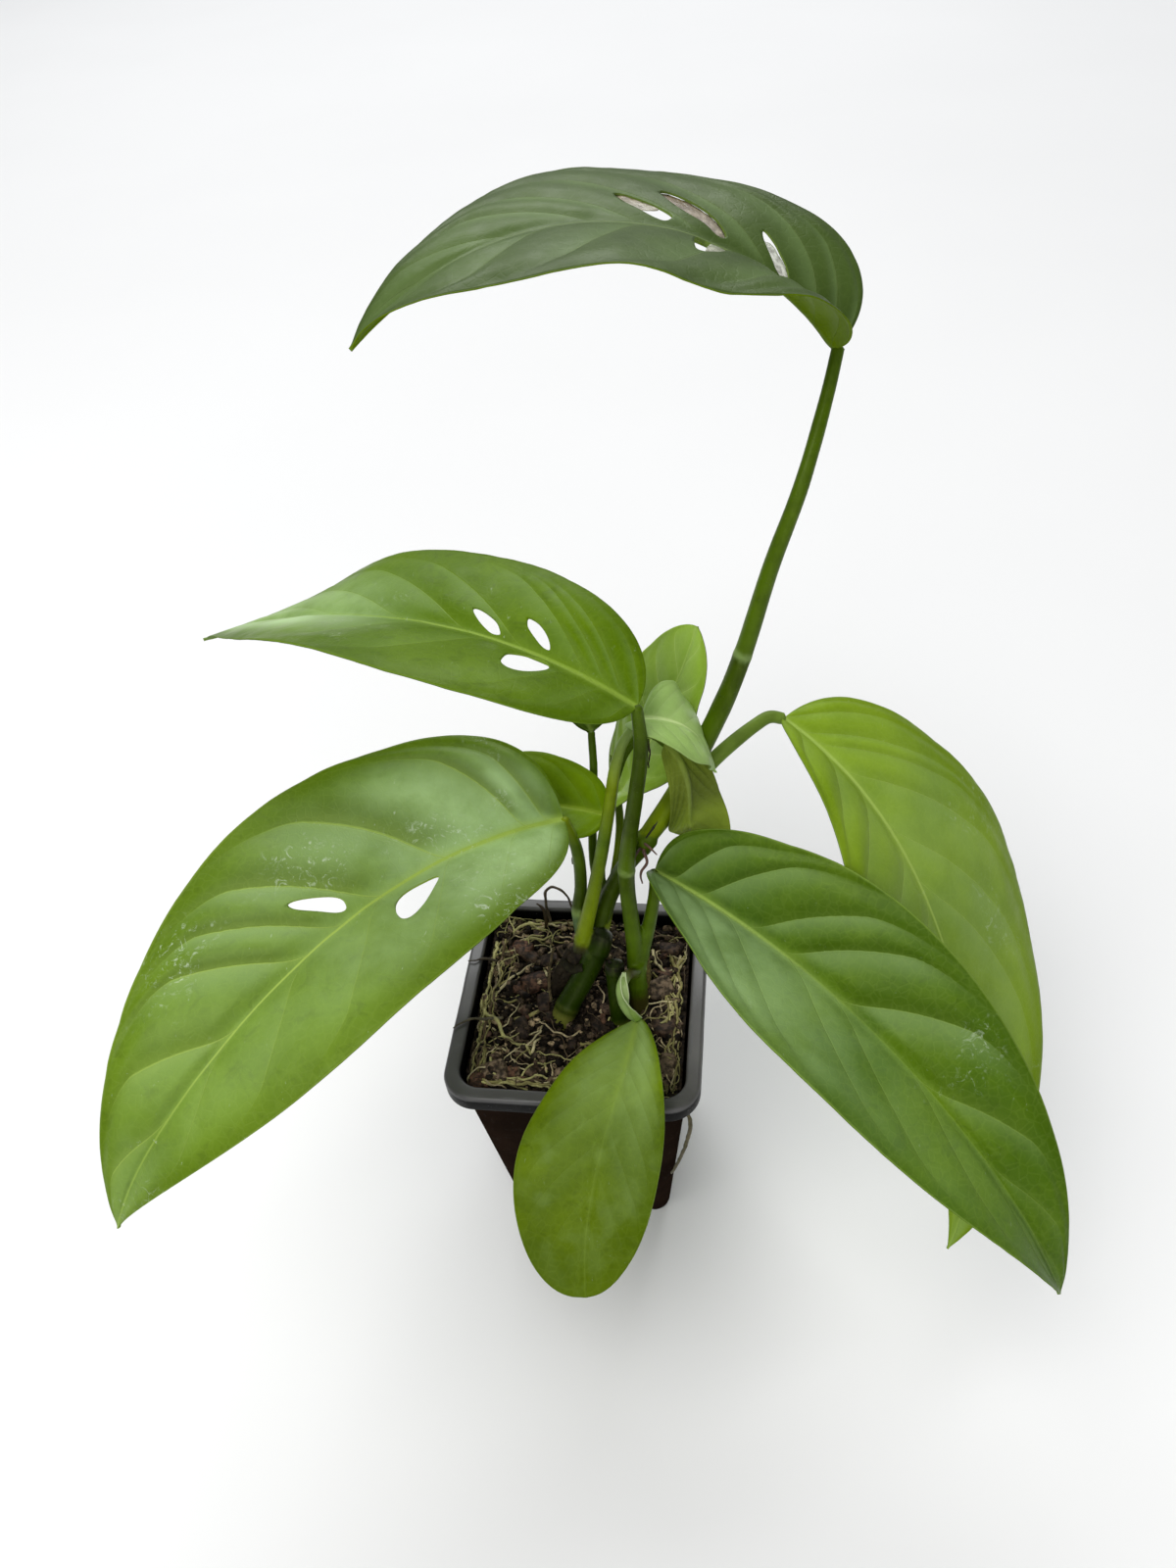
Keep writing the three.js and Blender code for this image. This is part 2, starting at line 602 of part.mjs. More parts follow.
// Stems joined into one body and cut back where they meet the blades. The blades are moved by the gap
// in many directions for this, so that the clearance is about the same all round.
function makeVine(routes) {
  const stems = joinAll(routes.map((route) => makeTube(route, STEM_SIDES, STEM_STEP)));
  const blades = joinAll(Object.values(LEAVES).map((leaf) => new Blade(leaf).solid()));
  const shifts = weld(new THREE.IcosahedronGeometry(BLADE_GAP, 1)).attributes.position;
  let cut = stems;
  for (let i = 0; i < shifts.count; i++) {
    cut = cut.subtract(blades.translate(new THREE.Vector3().fromBufferAttribute(shifts, i).toArray()));
  }
  return mainBody(cut);
}

const model = new THREE.Group();
model.name = "potted_swiss_cheese_vine";

function addPiece(name, solid, color, roughness) {
  const material = new THREE.MeshStandardMaterial({ color, roughness, metalness: 0 });
  const mesh = new THREE.Mesh(toGeometry(solid), material);
  mesh.name = name;
  model.add(mesh);
}

addPiece("pot", makePot(), POT_BLACK, 0.55);
addPiece("soil", makeSoil([VINE_LEFT[0], VINE_RIGHT[0], STEM_STUB[0]]), SOIL_BROWN, 0.95);
addPiece("vine_left", makeVine(VINE_LEFT), STEM_GREEN, 0.5);
addPiece("vine_right", makeVine(VINE_RIGHT), STEM_GREEN, 0.5);
addPiece("stem_stub", makeVine(STEM_STUB), STEM_GREEN, 0.6);
for (const [name, leaf] of Object.entries(LEAVES)) {
  addPiece(name, makeLeaf(leaf), LEAF_GREEN, 0.45);
}

export default model;
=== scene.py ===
# Potted swiss cheese vine, dressed for rendering.
# Lengths are millimetres until a mesh is made; Blender's own values are metres.
import math
import random

import bmesh
import bpy
import numpy as np
from mathutils import Matrix, Vector, kdtree, noise


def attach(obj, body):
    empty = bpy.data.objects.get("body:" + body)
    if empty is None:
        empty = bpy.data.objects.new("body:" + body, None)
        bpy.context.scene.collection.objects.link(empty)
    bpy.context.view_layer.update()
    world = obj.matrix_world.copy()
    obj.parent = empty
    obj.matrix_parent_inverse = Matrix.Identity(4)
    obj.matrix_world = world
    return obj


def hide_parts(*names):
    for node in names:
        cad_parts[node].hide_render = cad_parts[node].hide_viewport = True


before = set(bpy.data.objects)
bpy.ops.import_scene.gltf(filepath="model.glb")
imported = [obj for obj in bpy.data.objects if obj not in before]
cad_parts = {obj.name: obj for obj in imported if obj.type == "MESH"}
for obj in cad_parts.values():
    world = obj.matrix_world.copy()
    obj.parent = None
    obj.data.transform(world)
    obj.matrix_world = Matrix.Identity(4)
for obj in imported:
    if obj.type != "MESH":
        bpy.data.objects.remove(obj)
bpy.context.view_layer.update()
MM = 0.001

# Camera, as fitted to the pot's rim: rows are its right, down and forward directions
CAMERA_AT = (43.0, -192.25, 358.77)
CAMERA_RIGHT = (0.9915, 0.1086, -0.0715)
CAMERA_DOWN = (0.0264, -0.7063, -0.7075)
CAMERA_AHEAD = (-0.1273, 0.6996, -0.7031)
FOCAL_PX = 1202.0
PICTURE_HEIGHT_PX = 1600.0
SENSOR_HEIGHT = 36.0

# Pot and mix, as in the CAD source
POT_HALF = 35.0
POT_HEIGHT = 80.0
POT_FOOT_HALF = 24.5
LIP_DEPTH = 5.5
LIP_TOP = 4.1
LIP_OVERHANG = 3.6
POT_WALL = 1.0
POT_FLOOR = 1.6
CORNER_TOP = 9.0
CORNER_FOOT = 5.0
GAP = 0.3
SOIL_EDGE = 75.0
SOIL_MOUND = 2.5
BUMP = 0.7
BODY_TOP = POT_HALF - LIP_OVERHANG
BODY_SLOPE = (BODY_TOP - POT_FOOT_HALF) / (POT_HEIGHT - LIP_DEPTH)

# Leaves, as in the CAD source, with the look of each; pairs are left and right of the rib. veins: where
# side veins leave the rib. lean: how far forward they reach. quilt: height of the blade between them.
# lines: how clear they are. painted_sheen: strength of the painted sheen, a pale tint that stands in for
# the light's reflection on the waxy skin, and where along the leaf it starts and is full. sides: its share
# on each half. shade: strength of the painted highlight and painted shade between the veins. greens: names
# in GREENS. specks: share of mineral specks. holes, films: outlines as (along, across), left positive.
PLAIN_LEAF = dict(
    veins=((0.05, 0.17, 0.3, 0.44, 0.58, 0.72), (0.1, 0.22, 0.36, 0.5, 0.64, 0.78)),
    lean=(0.15, 0.15), quilt=(0.25, 0.25), lines=(0.15, 0.15), painted_sheen=(0.0, 0.0, 0.4), shade=(0.15, 0.15),
    sides=(1.0, 1.0), gloss=0.1, specks=0.0, holes=[],
)
LEAVES = {
    "leaf_top": dict(
        base=(62, 62, 241), length=120, heading=(165, 200, 202), pitch=(52, 9, -41),
        roll=(4, -1, 5), width=(32, 32), fold=(44, 6, 30), curl=-12,
        widest=0.35, shoulder=0.54, point=1.05, lobe=0.02, wave=(-2.4, 1.1), phase=(-121, 52),
        veins=((0.0, 0.1, 0.2, 0.36, 0.54, 0.69, 0.82), (0.02, 0.1, 0.27, 0.42, 0.54, 0.62, 0.74, 0.86)),
        lean=(0.1, 0.14), quilt=(0.6, 0.6), lines=(0.22, 0.22), painted_sheen=(0.1, 0.0, 1.0), shade=(0.3, 0.4),
        sides=(0.6, 1.0), greens="shaded", gloss=0.2,
        holes=[
            [(0.484, -0.2), (0.494, -0.12), (0.512, -0.09), (0.534, -0.15), (0.55, -0.28), (0.55, -0.41),
             (0.532, -0.46), (0.505, -0.34)],
            [(0.385, -0.125), (0.406, -0.1), (0.425, -0.17), (0.45, -0.25), (0.463, -0.375), (0.459, -0.5),
             (0.437, -0.53), (0.416, -0.45), (0.396, -0.31)],
            [(0.398, 0.05), (0.42, 0.03), (0.44, 0.03), (0.458, 0.16), (0.459, 0.28), (0.447, 0.43),
             (0.425, 0.42), (0.4, 0.36), (0.394, 0.2)],
            [(0.222, -0.03), (0.24, -0.047), (0.268, -0.094), (0.29, -0.2), (0.296, -0.3), (0.288, -0.37),
             (0.272, -0.31), (0.256, -0.22), (0.236, -0.14)],
        ],
        films=[
            dict(edge=[(0.222, -0.03), (0.24, -0.047), (0.268, -0.094), (0.288, -0.2), (0.292, -0.27),
                       (0.272, -0.29), (0.256, -0.22), (0.236, -0.14)],
                 near=(0.66, 0.66, 0.58), far=(0.75, 0.77, 0.70)),
            dict(edge=[(0.385, -0.16), (0.406, -0.13), (0.425, -0.19), (0.45, -0.27), (0.463, -0.375),
                       (0.459, -0.5), (0.437, -0.53), (0.416, -0.45), (0.396, -0.31)],
                 near=(0.42, 0.37, 0.30), far=(0.16, 0.11, 0.06)),
            dict(edge=[(0.498, -0.27), (0.52, -0.24), (0.548, -0.27), (0.55, -0.41), (0.532, -0.46),
                       (0.505, -0.34)],
                 near=(0.55, 0.52, 0.42), far=(0.22, 0.17, 0.10)),
            dict(edge=[(0.398, 0.05), (0.418, 0.04), (0.428, 0.16), (0.43, 0.3), (0.425, 0.42), (0.4, 0.36),
                       (0.394, 0.2)],
                 near=(0.36, 0.40, 0.28), far=(0.52, 0.52, 0.42)),
        ],
    ),
    "leaf_upper_left": dict(
        base=(19, 12, 179), length=149, heading=(159, 159, 154), pitch=(25, -12, -31),
        roll=(-4, 8, 17), width=(31, 27), fold=(23, 21, 7), curl=-17,
        widest=0.38, shoulder=0.52, point=1.16, lobe=0.02, wave=(0.7, 1.8), phase=(115, 44),
        veins=((0.0, 0.09, 0.18, 0.37, 0.5, 0.62, 0.74), (0.02, 0.075, 0.135, 0.3, 0.42, 0.55, 0.68)),
        lean=(0.02, 0.2), quilt=(0.22, 0.32), lines=(0.2, 0.25), painted_sheen=(1.0, 0.46, 0.76),
        shade=(0.2, 0.32), sides=(1.0, 0.6), greens="bright", gloss=0.14, specks=0.6,
        holes=[
            [(0.222, 0.22), (0.231, 0.36), (0.25, 0.42), (0.275, 0.39), (0.294, 0.3), (0.306, 0.18),
             (0.292, 0.09), (0.272, 0.045), (0.25, 0.04), (0.229, 0.11)],
            [(0.253, -0.1), (0.269, -0.094), (0.29, -0.15), (0.306, -0.22), (0.308, -0.297), (0.3, -0.313),
             (0.281, -0.288), (0.262, -0.203)],
            [(0.362, -0.062), (0.381, -0.056), (0.406, -0.13), (0.42, -0.22), (0.417, -0.256),
             (0.4, -0.244), (0.375, -0.18), (0.364, -0.11)],
        ],
    ),
    "leaf_lower_left": dict(
        base=(-3, 19, 133), length=159, heading=(206, 235, 213), pitch=(9, -7, -67),
        roll=(-18, -3, -40), width=(32, 41), fold=(32, 12, 16), curl=-13,
        widest=0.36, shoulder=0.49, point=1.14, lobe=0.02, wave=(-1, 1), phase=(-54, 165),
        veins=((0.0, 0.13, 0.3, 0.455, 0.6, 0.74, 0.86),
               (0.035, 0.105, 0.315, 0.455, 0.53, 0.595, 0.72, 0.84)),
        lean=(0.1, 0.07), quilt=(0.2, 1.3), lines=(0.15, 0.51), painted_sheen=(0.8, 0.0, 0.08), shade=(0.15, 1.0),
        greens="sheen", gloss=0.2, specks=1.9,
        holes=[
            [(0.353, 0.165), (0.372, 0.27), (0.398, 0.365), (0.425, 0.405), (0.443, 0.37), (0.45, 0.28),
             (0.446, 0.19), (0.432, 0.135), (0.41, 0.12), (0.38, 0.135)],
            [(0.501, -0.13), (0.511, -0.07), (0.525, -0.095), (0.54, -0.2), (0.547, -0.3), (0.542, -0.355),
             (0.53, -0.33), (0.515, -0.26), (0.503, -0.19)],
        ],
    ),
    "leaf_front_right": dict(
        base=(21, 15, 118), length=150, heading=(330, 317, 324), pitch=(-3, -15, -67),
        roll=(9, 11, -10), width=(28, 27), fold=(54, 19, 20), curl=10,
        widest=0.35, shoulder=0.49, point=0.86, lobe=0.03, wave=(-0.4, 2.4), phase=(-24, 119),
        veins=((0.05, 0.15, 0.3, 0.385, 0.515, 0.68, 0.8, 0.9), (0.03, 0.13, 0.235, 0.41, 0.51, 0.66, 0.8)),
        lean=(0.1, 0.2), quilt=(1.25, 0.3), lines=(0.18, 0.12), painted_sheen=(0.85, 0.0, 0.03),
        shade=(0.75, 0.12), sides=(0.1, 1.0), greens="deep", gloss=0.14, specks=0.25,
    ),
    "leaf_rear_right": dict(
        base=(54, 41, 150.5), length=163, heading=(327, 305, 240), pitch=(-14, -57, -27),
        roll=(-17, -8, -28), width=(39, 24), fold=(31, 5, 11), curl=-25,
        widest=0.37, shoulder=0.55, point=1.01, lobe=0.02, wave=(-1.4, 1.2), phase=(52, 83),
        veins=((0.05, 0.1, 0.2, 0.35, 0.46, 0.6, 0.74), (0.03, 0.14, 0.25, 0.39, 0.5, 0.62, 0.75)),
        lean=(0.24, 0.05), quilt=(0.5, 0.5), lines=(0.2, 0.25), painted_sheen=(0.3, 0.0, 0.4), shade=(0.25, 0.3),
        sides=(1.0, 0.7), greens="pale", gloss=0.13, specks=0.1,
    ),
    "leaf_front_small": dict(
        base=(17, -10, 85), length=76, heading=(269, 259, 279), pitch=(18, -14, -43),
        roll=(27, 10, 1), width=(16.5, 21), fold=(27, 8, 2), curl=-6,
        widest=0.58, shoulder=0.78, point=0.45, lobe=0, wave=(0.9, 1), phase=(-44, -31),
        veins=((0.0, 0.1, 0.2, 0.31, 0.42, 0.55, 0.68), (0.04, 0.14, 0.25, 0.36, 0.48, 0.6, 0.74)),
        lean=(0.2, 0.2), quilt=(0.18, 0.18), lines=(0.1, 0.1), painted_sheen=(0.9, 0.9, 0.1), sides=(1.2, 0.9),
        greens="small", gloss=0.08, specks=0.5,
    ),
    "leaf_rear_upright": dict(
        base=(9.5, 36.9, 123), length=56.8, heading=(24, 29, 43), pitch=(57, 65, 65),
        roll=(-25, -3, -8), width=(20.8, 18.8), fold=(30, 13, 13), curl=-16,
        widest=0.38, shoulder=0.5, point=0.6, lobe=0.05, wave=(1, 2.2), phase=(64, -71),
        veins=((0.05, 0.2, 0.35, 0.5, 0.65, 0.8), (0.1, 0.25, 0.4, 0.55, 0.7, 0.84)),
        lean=(0.12, 0.12), quilt=(0.5, 0.5), lines=(0.4, 0.4), painted_sheen=(0.2, 0.0, 0.4), greens="light",
        gloss=0.14,
    ),
    "leaf_centre": dict(
        base=(18.4, 22.2, 166.3), length=30.8, heading=(-32, 12, -22), pitch=(40, -52, -71),
        roll=(2, 0, -11), width=(12.8, 11.8), fold=(36, 12, 6), curl=-21,
        widest=0.38, shoulder=0.5, point=1.15, lobe=0.04, wave=(0.8, 0.9), phase=(-4, -42),
        veins=((0.05, 0.2, 0.35, 0.5, 0.65, 0.8), (0.1, 0.25, 0.4, 0.55, 0.7, 0.84)),
        quilt=(0.15, 0.15), lines=(0.3, 0.3), painted_sheen=(0.1, 0.0, 0.4), shade=(0.1, 0.1), greens="young",
        gloss=0.14,
    ),
    "leaf_hanging": dict(
        base=(24.5, 22.8, 157.4), length=53, heading=(141, 85, 10), pitch=(-168, -68, -84),
        roll=(20, -36, -18), width=(5.7, 10.7), fold=(22, 12, 9), curl=-12,
        widest=0.5, shoulder=0.35, point=0.5, lobe=0.02, wave=(0.5, 0.6), phase=(0, 60),
        veins=((0.0, 0.12, 0.25, 0.38, 0.52, 0.66, 0.8), (0.05, 0.17, 0.3, 0.44, 0.58, 0.72, 0.86)),
        lean=(0.3, 0.3), lines=(0.2, 0.2), greens="olive",
    ),
    "leaf_behind_left": dict(
        base=(6.9, 27.8, 125.7), length=72, heading=(178, 186, 201), pitch=(19, -11, -36),
        roll=(-11, -11, 0), width=(15.4, 16.4), fold=(22, 15, 8), curl=-19,
        widest=0.38, shoulder=0.51, point=1.15, lobe=0.04, wave=(1, 1.4), phase=(-5, -45),
        greens="vivid",
    ),
    "leaf_rear": dict(
        base=(1.5, 49, 137), length=46, heading=(115, 95, 90), pitch=(10, -15, -30),
        roll=(6, 14, -5), width=(10, 10), fold=(40, 18, 7), curl=-15,
        widest=0.38, shoulder=0.5, point=1.15, lobe=0.04, wave=(1.7, 1), phase=(0, 0),
        greens="dim",
    ),
}
LEAVES = {name: {**PLAIN_LEAF, **leaf} for name, leaf in LEAVES.items()}
SWEEP = 0.12
LOBED = 0.2
TIP = 0.006
BLADE = 0.5
LARGE_LEAF = 100
# Width that counts as one in the map of the blade
SPAN_UNIT = 40.0

# Leaf colours, linear: deep, bright, vein, underside
GREENS = {
    "shaded": ((0.037, 0.067, 0.008), (0.060, 0.102, 0.017), (0.14, 0.20, 0.06), (0.115, 0.185, 0.000)),
    "bright": ((0.078, 0.148, 0.000), (0.118, 0.206, 0.002), (0.22, 0.33, 0.04), (0.10, 0.18, 0.01)),
    "sheen": ((0.100, 0.180, 0.003), (0.140, 0.240, 0.009), (0.33, 0.46, 0.08), (0.11, 0.19, 0.02)),
    "deep": ((0.054, 0.116, 0.000), (0.098, 0.176, 0.002), (0.32, 0.45, 0.09), (0.10, 0.18, 0.01)),
    "pale": ((0.152, 0.252, 0.004), (0.222, 0.345, 0.014), (0.36, 0.50, 0.10), (0.13, 0.21, 0.02)),
    "small": ((0.070, 0.120, 0.000), (0.150, 0.230, 0.002), (0.26, 0.37, 0.06), (0.10, 0.18, 0.01)),
    "light": ((0.210, 0.350, 0.022), (0.300, 0.470, 0.050), (0.52, 0.68, 0.18), (0.11, 0.18, 0.02)),
    "vivid": ((0.100, 0.180, 0.000), (0.165, 0.270, 0.001), (0.26, 0.37, 0.03), (0.08, 0.14, 0.01)),
    "young": ((0.320, 0.490, 0.130), (0.410, 0.590, 0.190), (0.60, 0.75, 0.32), (0.22, 0.33, 0.08)),
    # Painted shade: the rear leaf's colours are painted dark for the shade it lies in behind the other leaves
    "dim": ((0.030, 0.060, 0.000), (0.050, 0.092, 0.000), (0.12, 0.18, 0.02), (0.045, 0.080, 0.000)),
    "olive": ((0.110, 0.190, 0.022), (0.160, 0.265, 0.045), (0.26, 0.34, 0.08), (0.128, 0.168, 0.018)),
}
# Painted sheen: pale tints that stand in for the light's reflection on the waxy skin of the leaves
PAINTED_SHEEN = (0.27, 0.40, 0.16)
PAINTED_SHEENS = {"bright": (0.42, 0.60, 0.27), "sheen": (0.47, 0.67, 0.31), "deep": (0.34, 0.50, 0.22),
          "small": (0.26, 0.38, 0.11)}
# Rib strength at the base, where it starts and ends to fade, and what is left
RIB_FADES = {"sheen": (1.0, 0.5, 1.0, 0.4), "deep": (0.85, 0.12, 0.55, 0.12), "small": (0.4, 0.1, 0.6, 0.1)}

# Stem colours, linear
CANE = (0.015, 0.034, 0.000)
CANE_RING = (0.16, 0.17, 0.03)
GREEN = (0.062, 0.115, 0.001)
DEEP_GREEN = (0.034, 0.062, 0.000)
YELLOW_GREEN = (0.200, 0.270, 0.004)
FRESH_GREEN = (0.150, 0.240, 0.030)
PALE_GREEN = (0.26, 0.38, 0.12)
BLUE_GREEN = (0.085, 0.145, 0.055)
OLIVE = (0.050, 0.044, 0.008)
NODE_DARK = (0.010, 0.010, 0.007)
RING = (0.22, 0.32, 0.09)

# Stems, as in the CAD source: (x, y, z, radius). paint: (share along, colour). rings: (share along, height)
VINE_LEFT = [
    dict(route=[(-8, -10, 68, 3.3), (-4, -4, 79, 3.4), (1, 1.5, 87, 3.3), (5.5, 6.5, 96, 3.5),
                (6.5, 8, 99, 3)],
         paint=[(0, CANE_RING), (0.3, CANE_RING), (0.36, CANE), (0.90, CANE), (0.97, NODE_DARK)],
         rings=[(0.36, 0.35), (0.86, 0.4)]),
    dict(route=[(4, 8, 92, 2.6), (7.5, 15, 105, 2.5), (13, 17.5, 117, 2.5), (19.5, 16, 130, 3.1)],
         paint=[(0, DEEP_GREEN), (0.5, DEEP_GREEN), (1, GREEN)], rings=[(0.9, 0.25)]),
    dict(route=[(18, 16.5, 127, 2.6), (27, 21, 142, 2.7), (38, 30, 163.5, 2.6), (43, 32.5, 178.5, 2.3),
                (49, 37, 201, 2.0), (55, 43.5, 218, 1.8), (60, 56, 233, 1.6), (62, 62, 241, 1.5)],
         paint=[(0, YELLOW_GREEN), (0.25, GREEN), (0.445, DEEP_GREEN), (0.451, PALE_GREEN), (0.46, GREEN),
                (0.8, GREEN), (1, GREEN)],
         rings=[(0.448, 0.14)]),
    dict(route=[(19, 16, 129, 2.2), (27, 22, 137.5, 2.3), (35.5, 29.5, 145, 2.1), (46.5, 38, 150.5, 1.8),
                (50.5, 40.5, 151.5, 1.7), (54, 41, 150.5, 1.6)],
         paint=[(0, GREEN), (0.4, FRESH_GREEN), (1, FRESH_GREEN)]),
    dict(route=[(11.5, 16.5, 150, 1.4), (14.5, 21.5, 156, 1.3), (19, 25.4, 158.7, 1.2),
                (22, 24.8, 158.2, 1.2), (24.5, 22.8, 157.4, 1.1)],
         paint=[(0, GREEN), (1, GREEN)]),
    dict(route=[(0, 5.5, 94, 2.4), (2.5, 9, 104, 2.1), (6.5, 13, 122, 1.8), (10, 15.5, 141, 1.7),
                (12.5, 16.5, 156, 1.5), (14.6, 18.6, 162.1, 1.3), (18.3, 22.1, 166, 1)],
         paint=[(0, NODE_DARK), (0.03, OLIVE), (0.05, YELLOW_GREEN), (0.12, YELLOW_GREEN), (0.5, GREEN),
                (0.75, YELLOW_GREEN), (1, PALE_GREEN)],
         rings=[(0.05, 0.3)]),
    dict(route=[(1, 7, 94, 1.9), (-0.5, 12, 103, 1.9), (0.5, 14.5, 111, 1.8), (0, 17, 124, 1.7),
                (-3, 19, 133, 1.5)],
         paint=[(0, BLUE_GREEN), (0.22, BLUE_GREEN), (0.25, RING), (0.3, DEEP_GREEN), (0.8, GREEN),
                (1, YELLOW_GREEN)],
         rings=[(0.25, 0.2)]),
    dict(route=[(5, 8, 95, 1.8), (6.8, 15.6, 101.3, 1.7), (3.4, 23.1, 107.6, 1.4), (2.4, 29.1, 113.6, 1.3),
                (2.3, 42.4, 128.9, 1.2), (1.5, 49, 137, 1.1)],
         paint=[(0, YELLOW_GREEN), (0.3, GREEN), (1, GREEN)]),
    dict(route=[(4, 8, 95, 1.6), (5.6, 14.8, 102.2, 1.5), (5.5, 20.8, 113.2, 1.3), (6.85, 27.6, 125.4, 1.1)],
         paint=[(0, GREEN), (1, GREEN)]),
    dict(route=[(6, 9, 95, 1.6), (9, 20, 108, 1.4), (10.1, 31.2, 115.9, 1.3), (9.5, 36.8, 122.8, 1.1)],
         paint=[(0, YELLOW_GREEN), (1, GREEN)]),
]
VINE_RIGHT = [
    dict(route=[(16.5, -1, 66, 2.7), (16.5, 0, 78, 2.7), (16, 1.5, 88, 2.9), (16, 3, 93, 2.6)],
         paint=[(0, OLIVE), (0.55, OLIVE), (0.7, GREEN), (1, GREEN)], rings=[(0.72, 0.25)]),
    dict(route=[(15.5, 1.5, 86, 2.2), (15.5, 5, 98, 2.3), (14, 10, 115, 2.2), (14, 11, 123, 2.3),
                (15.5, 12, 136, 2.1), (17.5, 12.3, 149.7, 2), (19.6, 11, 167.4, 1.8), (19, 12, 179, 1.5)],
         paint=[(0, OLIVE), (0.045, OLIVE), (0.06, GREEN), (0.2, GREEN), (0.396, DEEP_GREEN), (0.401, RING),
                (0.409, GREEN), (0.55, DEEP_GREEN), (0.85, DEEP_GREEN), (1, GREEN)],
         rings=[(0.4, 0.18)]),
    dict(route=[(16.5, 2, 87, 2.2), (17.5, 5, 95, 2.2), (19.5, 9, 103, 1.9), (21, 13, 112, 1.7),
                (21, 15, 118, 1.5)],
         paint=[(0, OLIVE), (0.09, OLIVE), (0.12, RING), (0.15, GREEN), (0.6, GREEN), (1, DEEP_GREEN)],
         rings=[(0.12, 0.25)]),
    dict(route=[(16, 0, 92, 1.5), (14, -3.5, 95.5, 1.5), (12.7, -6.5, 94, 1.5), (13.3, -9, 90.5, 1.4),
                (15.5, -10.5, 87, 1.3), (17, -10, 85, 1.2)],
         paint=[(0, GREEN), (0.25, OLIVE), (0.36, PALE_GREEN), (1, PALE_GREEN)]),
]
STEM_STUB = [
    dict(route=[(11.8, -7.5, 66, 2.5), (11.2, -5.3, 82, 2.5), (10.5, -1.8, 91, 2.5), (10.3, 0, 96, 2.7)],
         paint=[(0, CANE_RING), (0.38, CANE_RING), (0.42, CANE), (0.9, CANE), (0.97, NODE_DARK)],
         rings=[(0.4, 0.3), (0.93, 0.2)]),
]

# Roots on the mix, as in the CAD source, and finer ones. Bundles: start, end, number of roots
WALL_BUNDLES = [
    ((-28.3, 20), (-28.3, -27), 6),
    ((28.3, 18), (28.3, -27), 6),
    ((-26, -28.3), (8, -28.3), 5),
    ((-20, 28.3), (10, 28.3), 3),
]
LOOSE_ROOTS = [
    [(-29, 1), (-28.4, -4.5), (-23.1, -8.9), (-20.7, -13.3), (-16.4, -15.6), (-12.5, -17.7), (-10.5, -21)],
    [(-12.2, -17.8), (-11.2, -15.2), (-10.5, -13)],
    [(-18.4, -7.5), (-14.9, -6.8), (-12.1, -4.8), (-9.5, -4)],
    [(-29, 13.7), (-27.1, 15.5), (-23.5, 15.7), (-19.6, 17)],
    [(-26.3, 0.7), (-24.4, 2.9), (-21, 7.2), (-17.4, 10.6), (-13.8, 14)],
    [(-28.2, -2.1), (-24.3, -1.2), (-20.8, -1.3), (-17.5, -0.5)],
    [(-22.7, -15.5), (-23.2, -21.3), (-21.5, -25), (-17, -27.6), (-12, -28.6)],
    [(18.6, 19.4), (20.4, 14.5), (22.3, 12.2), (26.2, 12.7), (29, 19)],
    [(27, -19), (25.2, -24), (26, -27.5)],
    [(24, 3), (26, -2), (22, -7), (18, -3)],
    [(27, -16), (22, -19), (24, -25), (19, -28)],
    [(-27, -14), (-25, -19), (-26.5, -24), (-22, -28)],
    [(-24, 24), (-20, 26.5), (-14, 25)],
    [(-25.7, 14.7), (-26.3, 11.1), (-25, 5.8)],
    [(1, -14), (6, -16), (7, -22)],
    [(-22, 20), (-15, 21), (-11, 24)],
    [(-13, 12), (-11, 7), (-12, 3)],
]
# Bark as in the CAD source, and loose chips: x, y, angle, length, width, height
BARK = [
    (-14, 5, 30, 9, 6, 2.6), (-8, -4.5, 75, 7, 4, 2.8), (-5, 18, 10, 9, 5, 2.4), (8, -16, 140, 8, 4, 2.4),
    (23, 11, 20, 8, 6, 2.6), (24, -6.5, 100, 8, 7, 2.4), (-22, -24, 15, 8, 6, 2.4), (24, -21, 60, 7, 5, 2.4),
    (-20, 18, 160, 7, 4, 2.4), (13, 24, 40, 9, 5, 2.4), (-2, -24, 170, 7, 4, 2), (-16, -10, 110, 6, 4, 2.2),
]
CHIPS = [
    (-17.2, 4.4, 60, 8, 6, 2.5), (-10.9, -1.3, 100, 7, 4, 2.4), (22.1, 5.3, 30, 8, 6, 2.2),
    (6.6, -9.2, 140, 8, 3.5, 2.2), (-25, -27, 10, 6.5, 5, 2), (22.9, 20.1, 160, 8, 5, 2.2),
    (25.4, -19.6, 80, 7, 5, 2.4), (-11.4, 13.2, 20, 6, 4, 2), (-17.3, -24.2, 40, 6, 4, 2),
    (-17.6, 15, 150, 8, 4, 2.4),
]

# Small things strewn over the mix: how many, how far out, and their colours
CRUMB_COUNT = 1700
CRUMB_LIMIT = 28.6
CRUMB_TONES = ((0.13, 0.090, 0.058), (0.050, 0.035, 0.024), (0.34, 0.25, 0.15), (0.100, 0.070, 0.044),
               (0.016, 0.011, 0.007), (0.010, 0.008, 0.006))
SMALL_CHIP_COUNT = 46
CHIP_LIMIT = 27
BARK_TONES = ((0.120, 0.062, 0.038), (0.080, 0.050, 0.033), (0.19, 0.135, 0.088), (0.055, 0.036, 0.025))
FINE_ROOT_COUNT = 190
FINE_ROOT_LIMIT = 28.0
ROOT_LIMIT = 29.0
ROOT_TONES = ((0.62, 0.58, 0.24), (0.80, 0.70, 0.40), (0.36, 0.32, 0.12), (0.14, 0.095, 0.052),
              (0.70, 0.57, 0.34))
# Heaps of scraps at the crown: centre, count, spread
SCRAP_HEAPS = (((4.4, 6.4, 96.6), 50, 2.0), ((10.3, 0, 96), 34, 1.9), ((-6.6, -7.5, 77.5), 30, 3))
SCRAP_TONE = (0.020, 0.016, 0.010)
OLD_BROWN = (0.030, 0.022, 0.012)

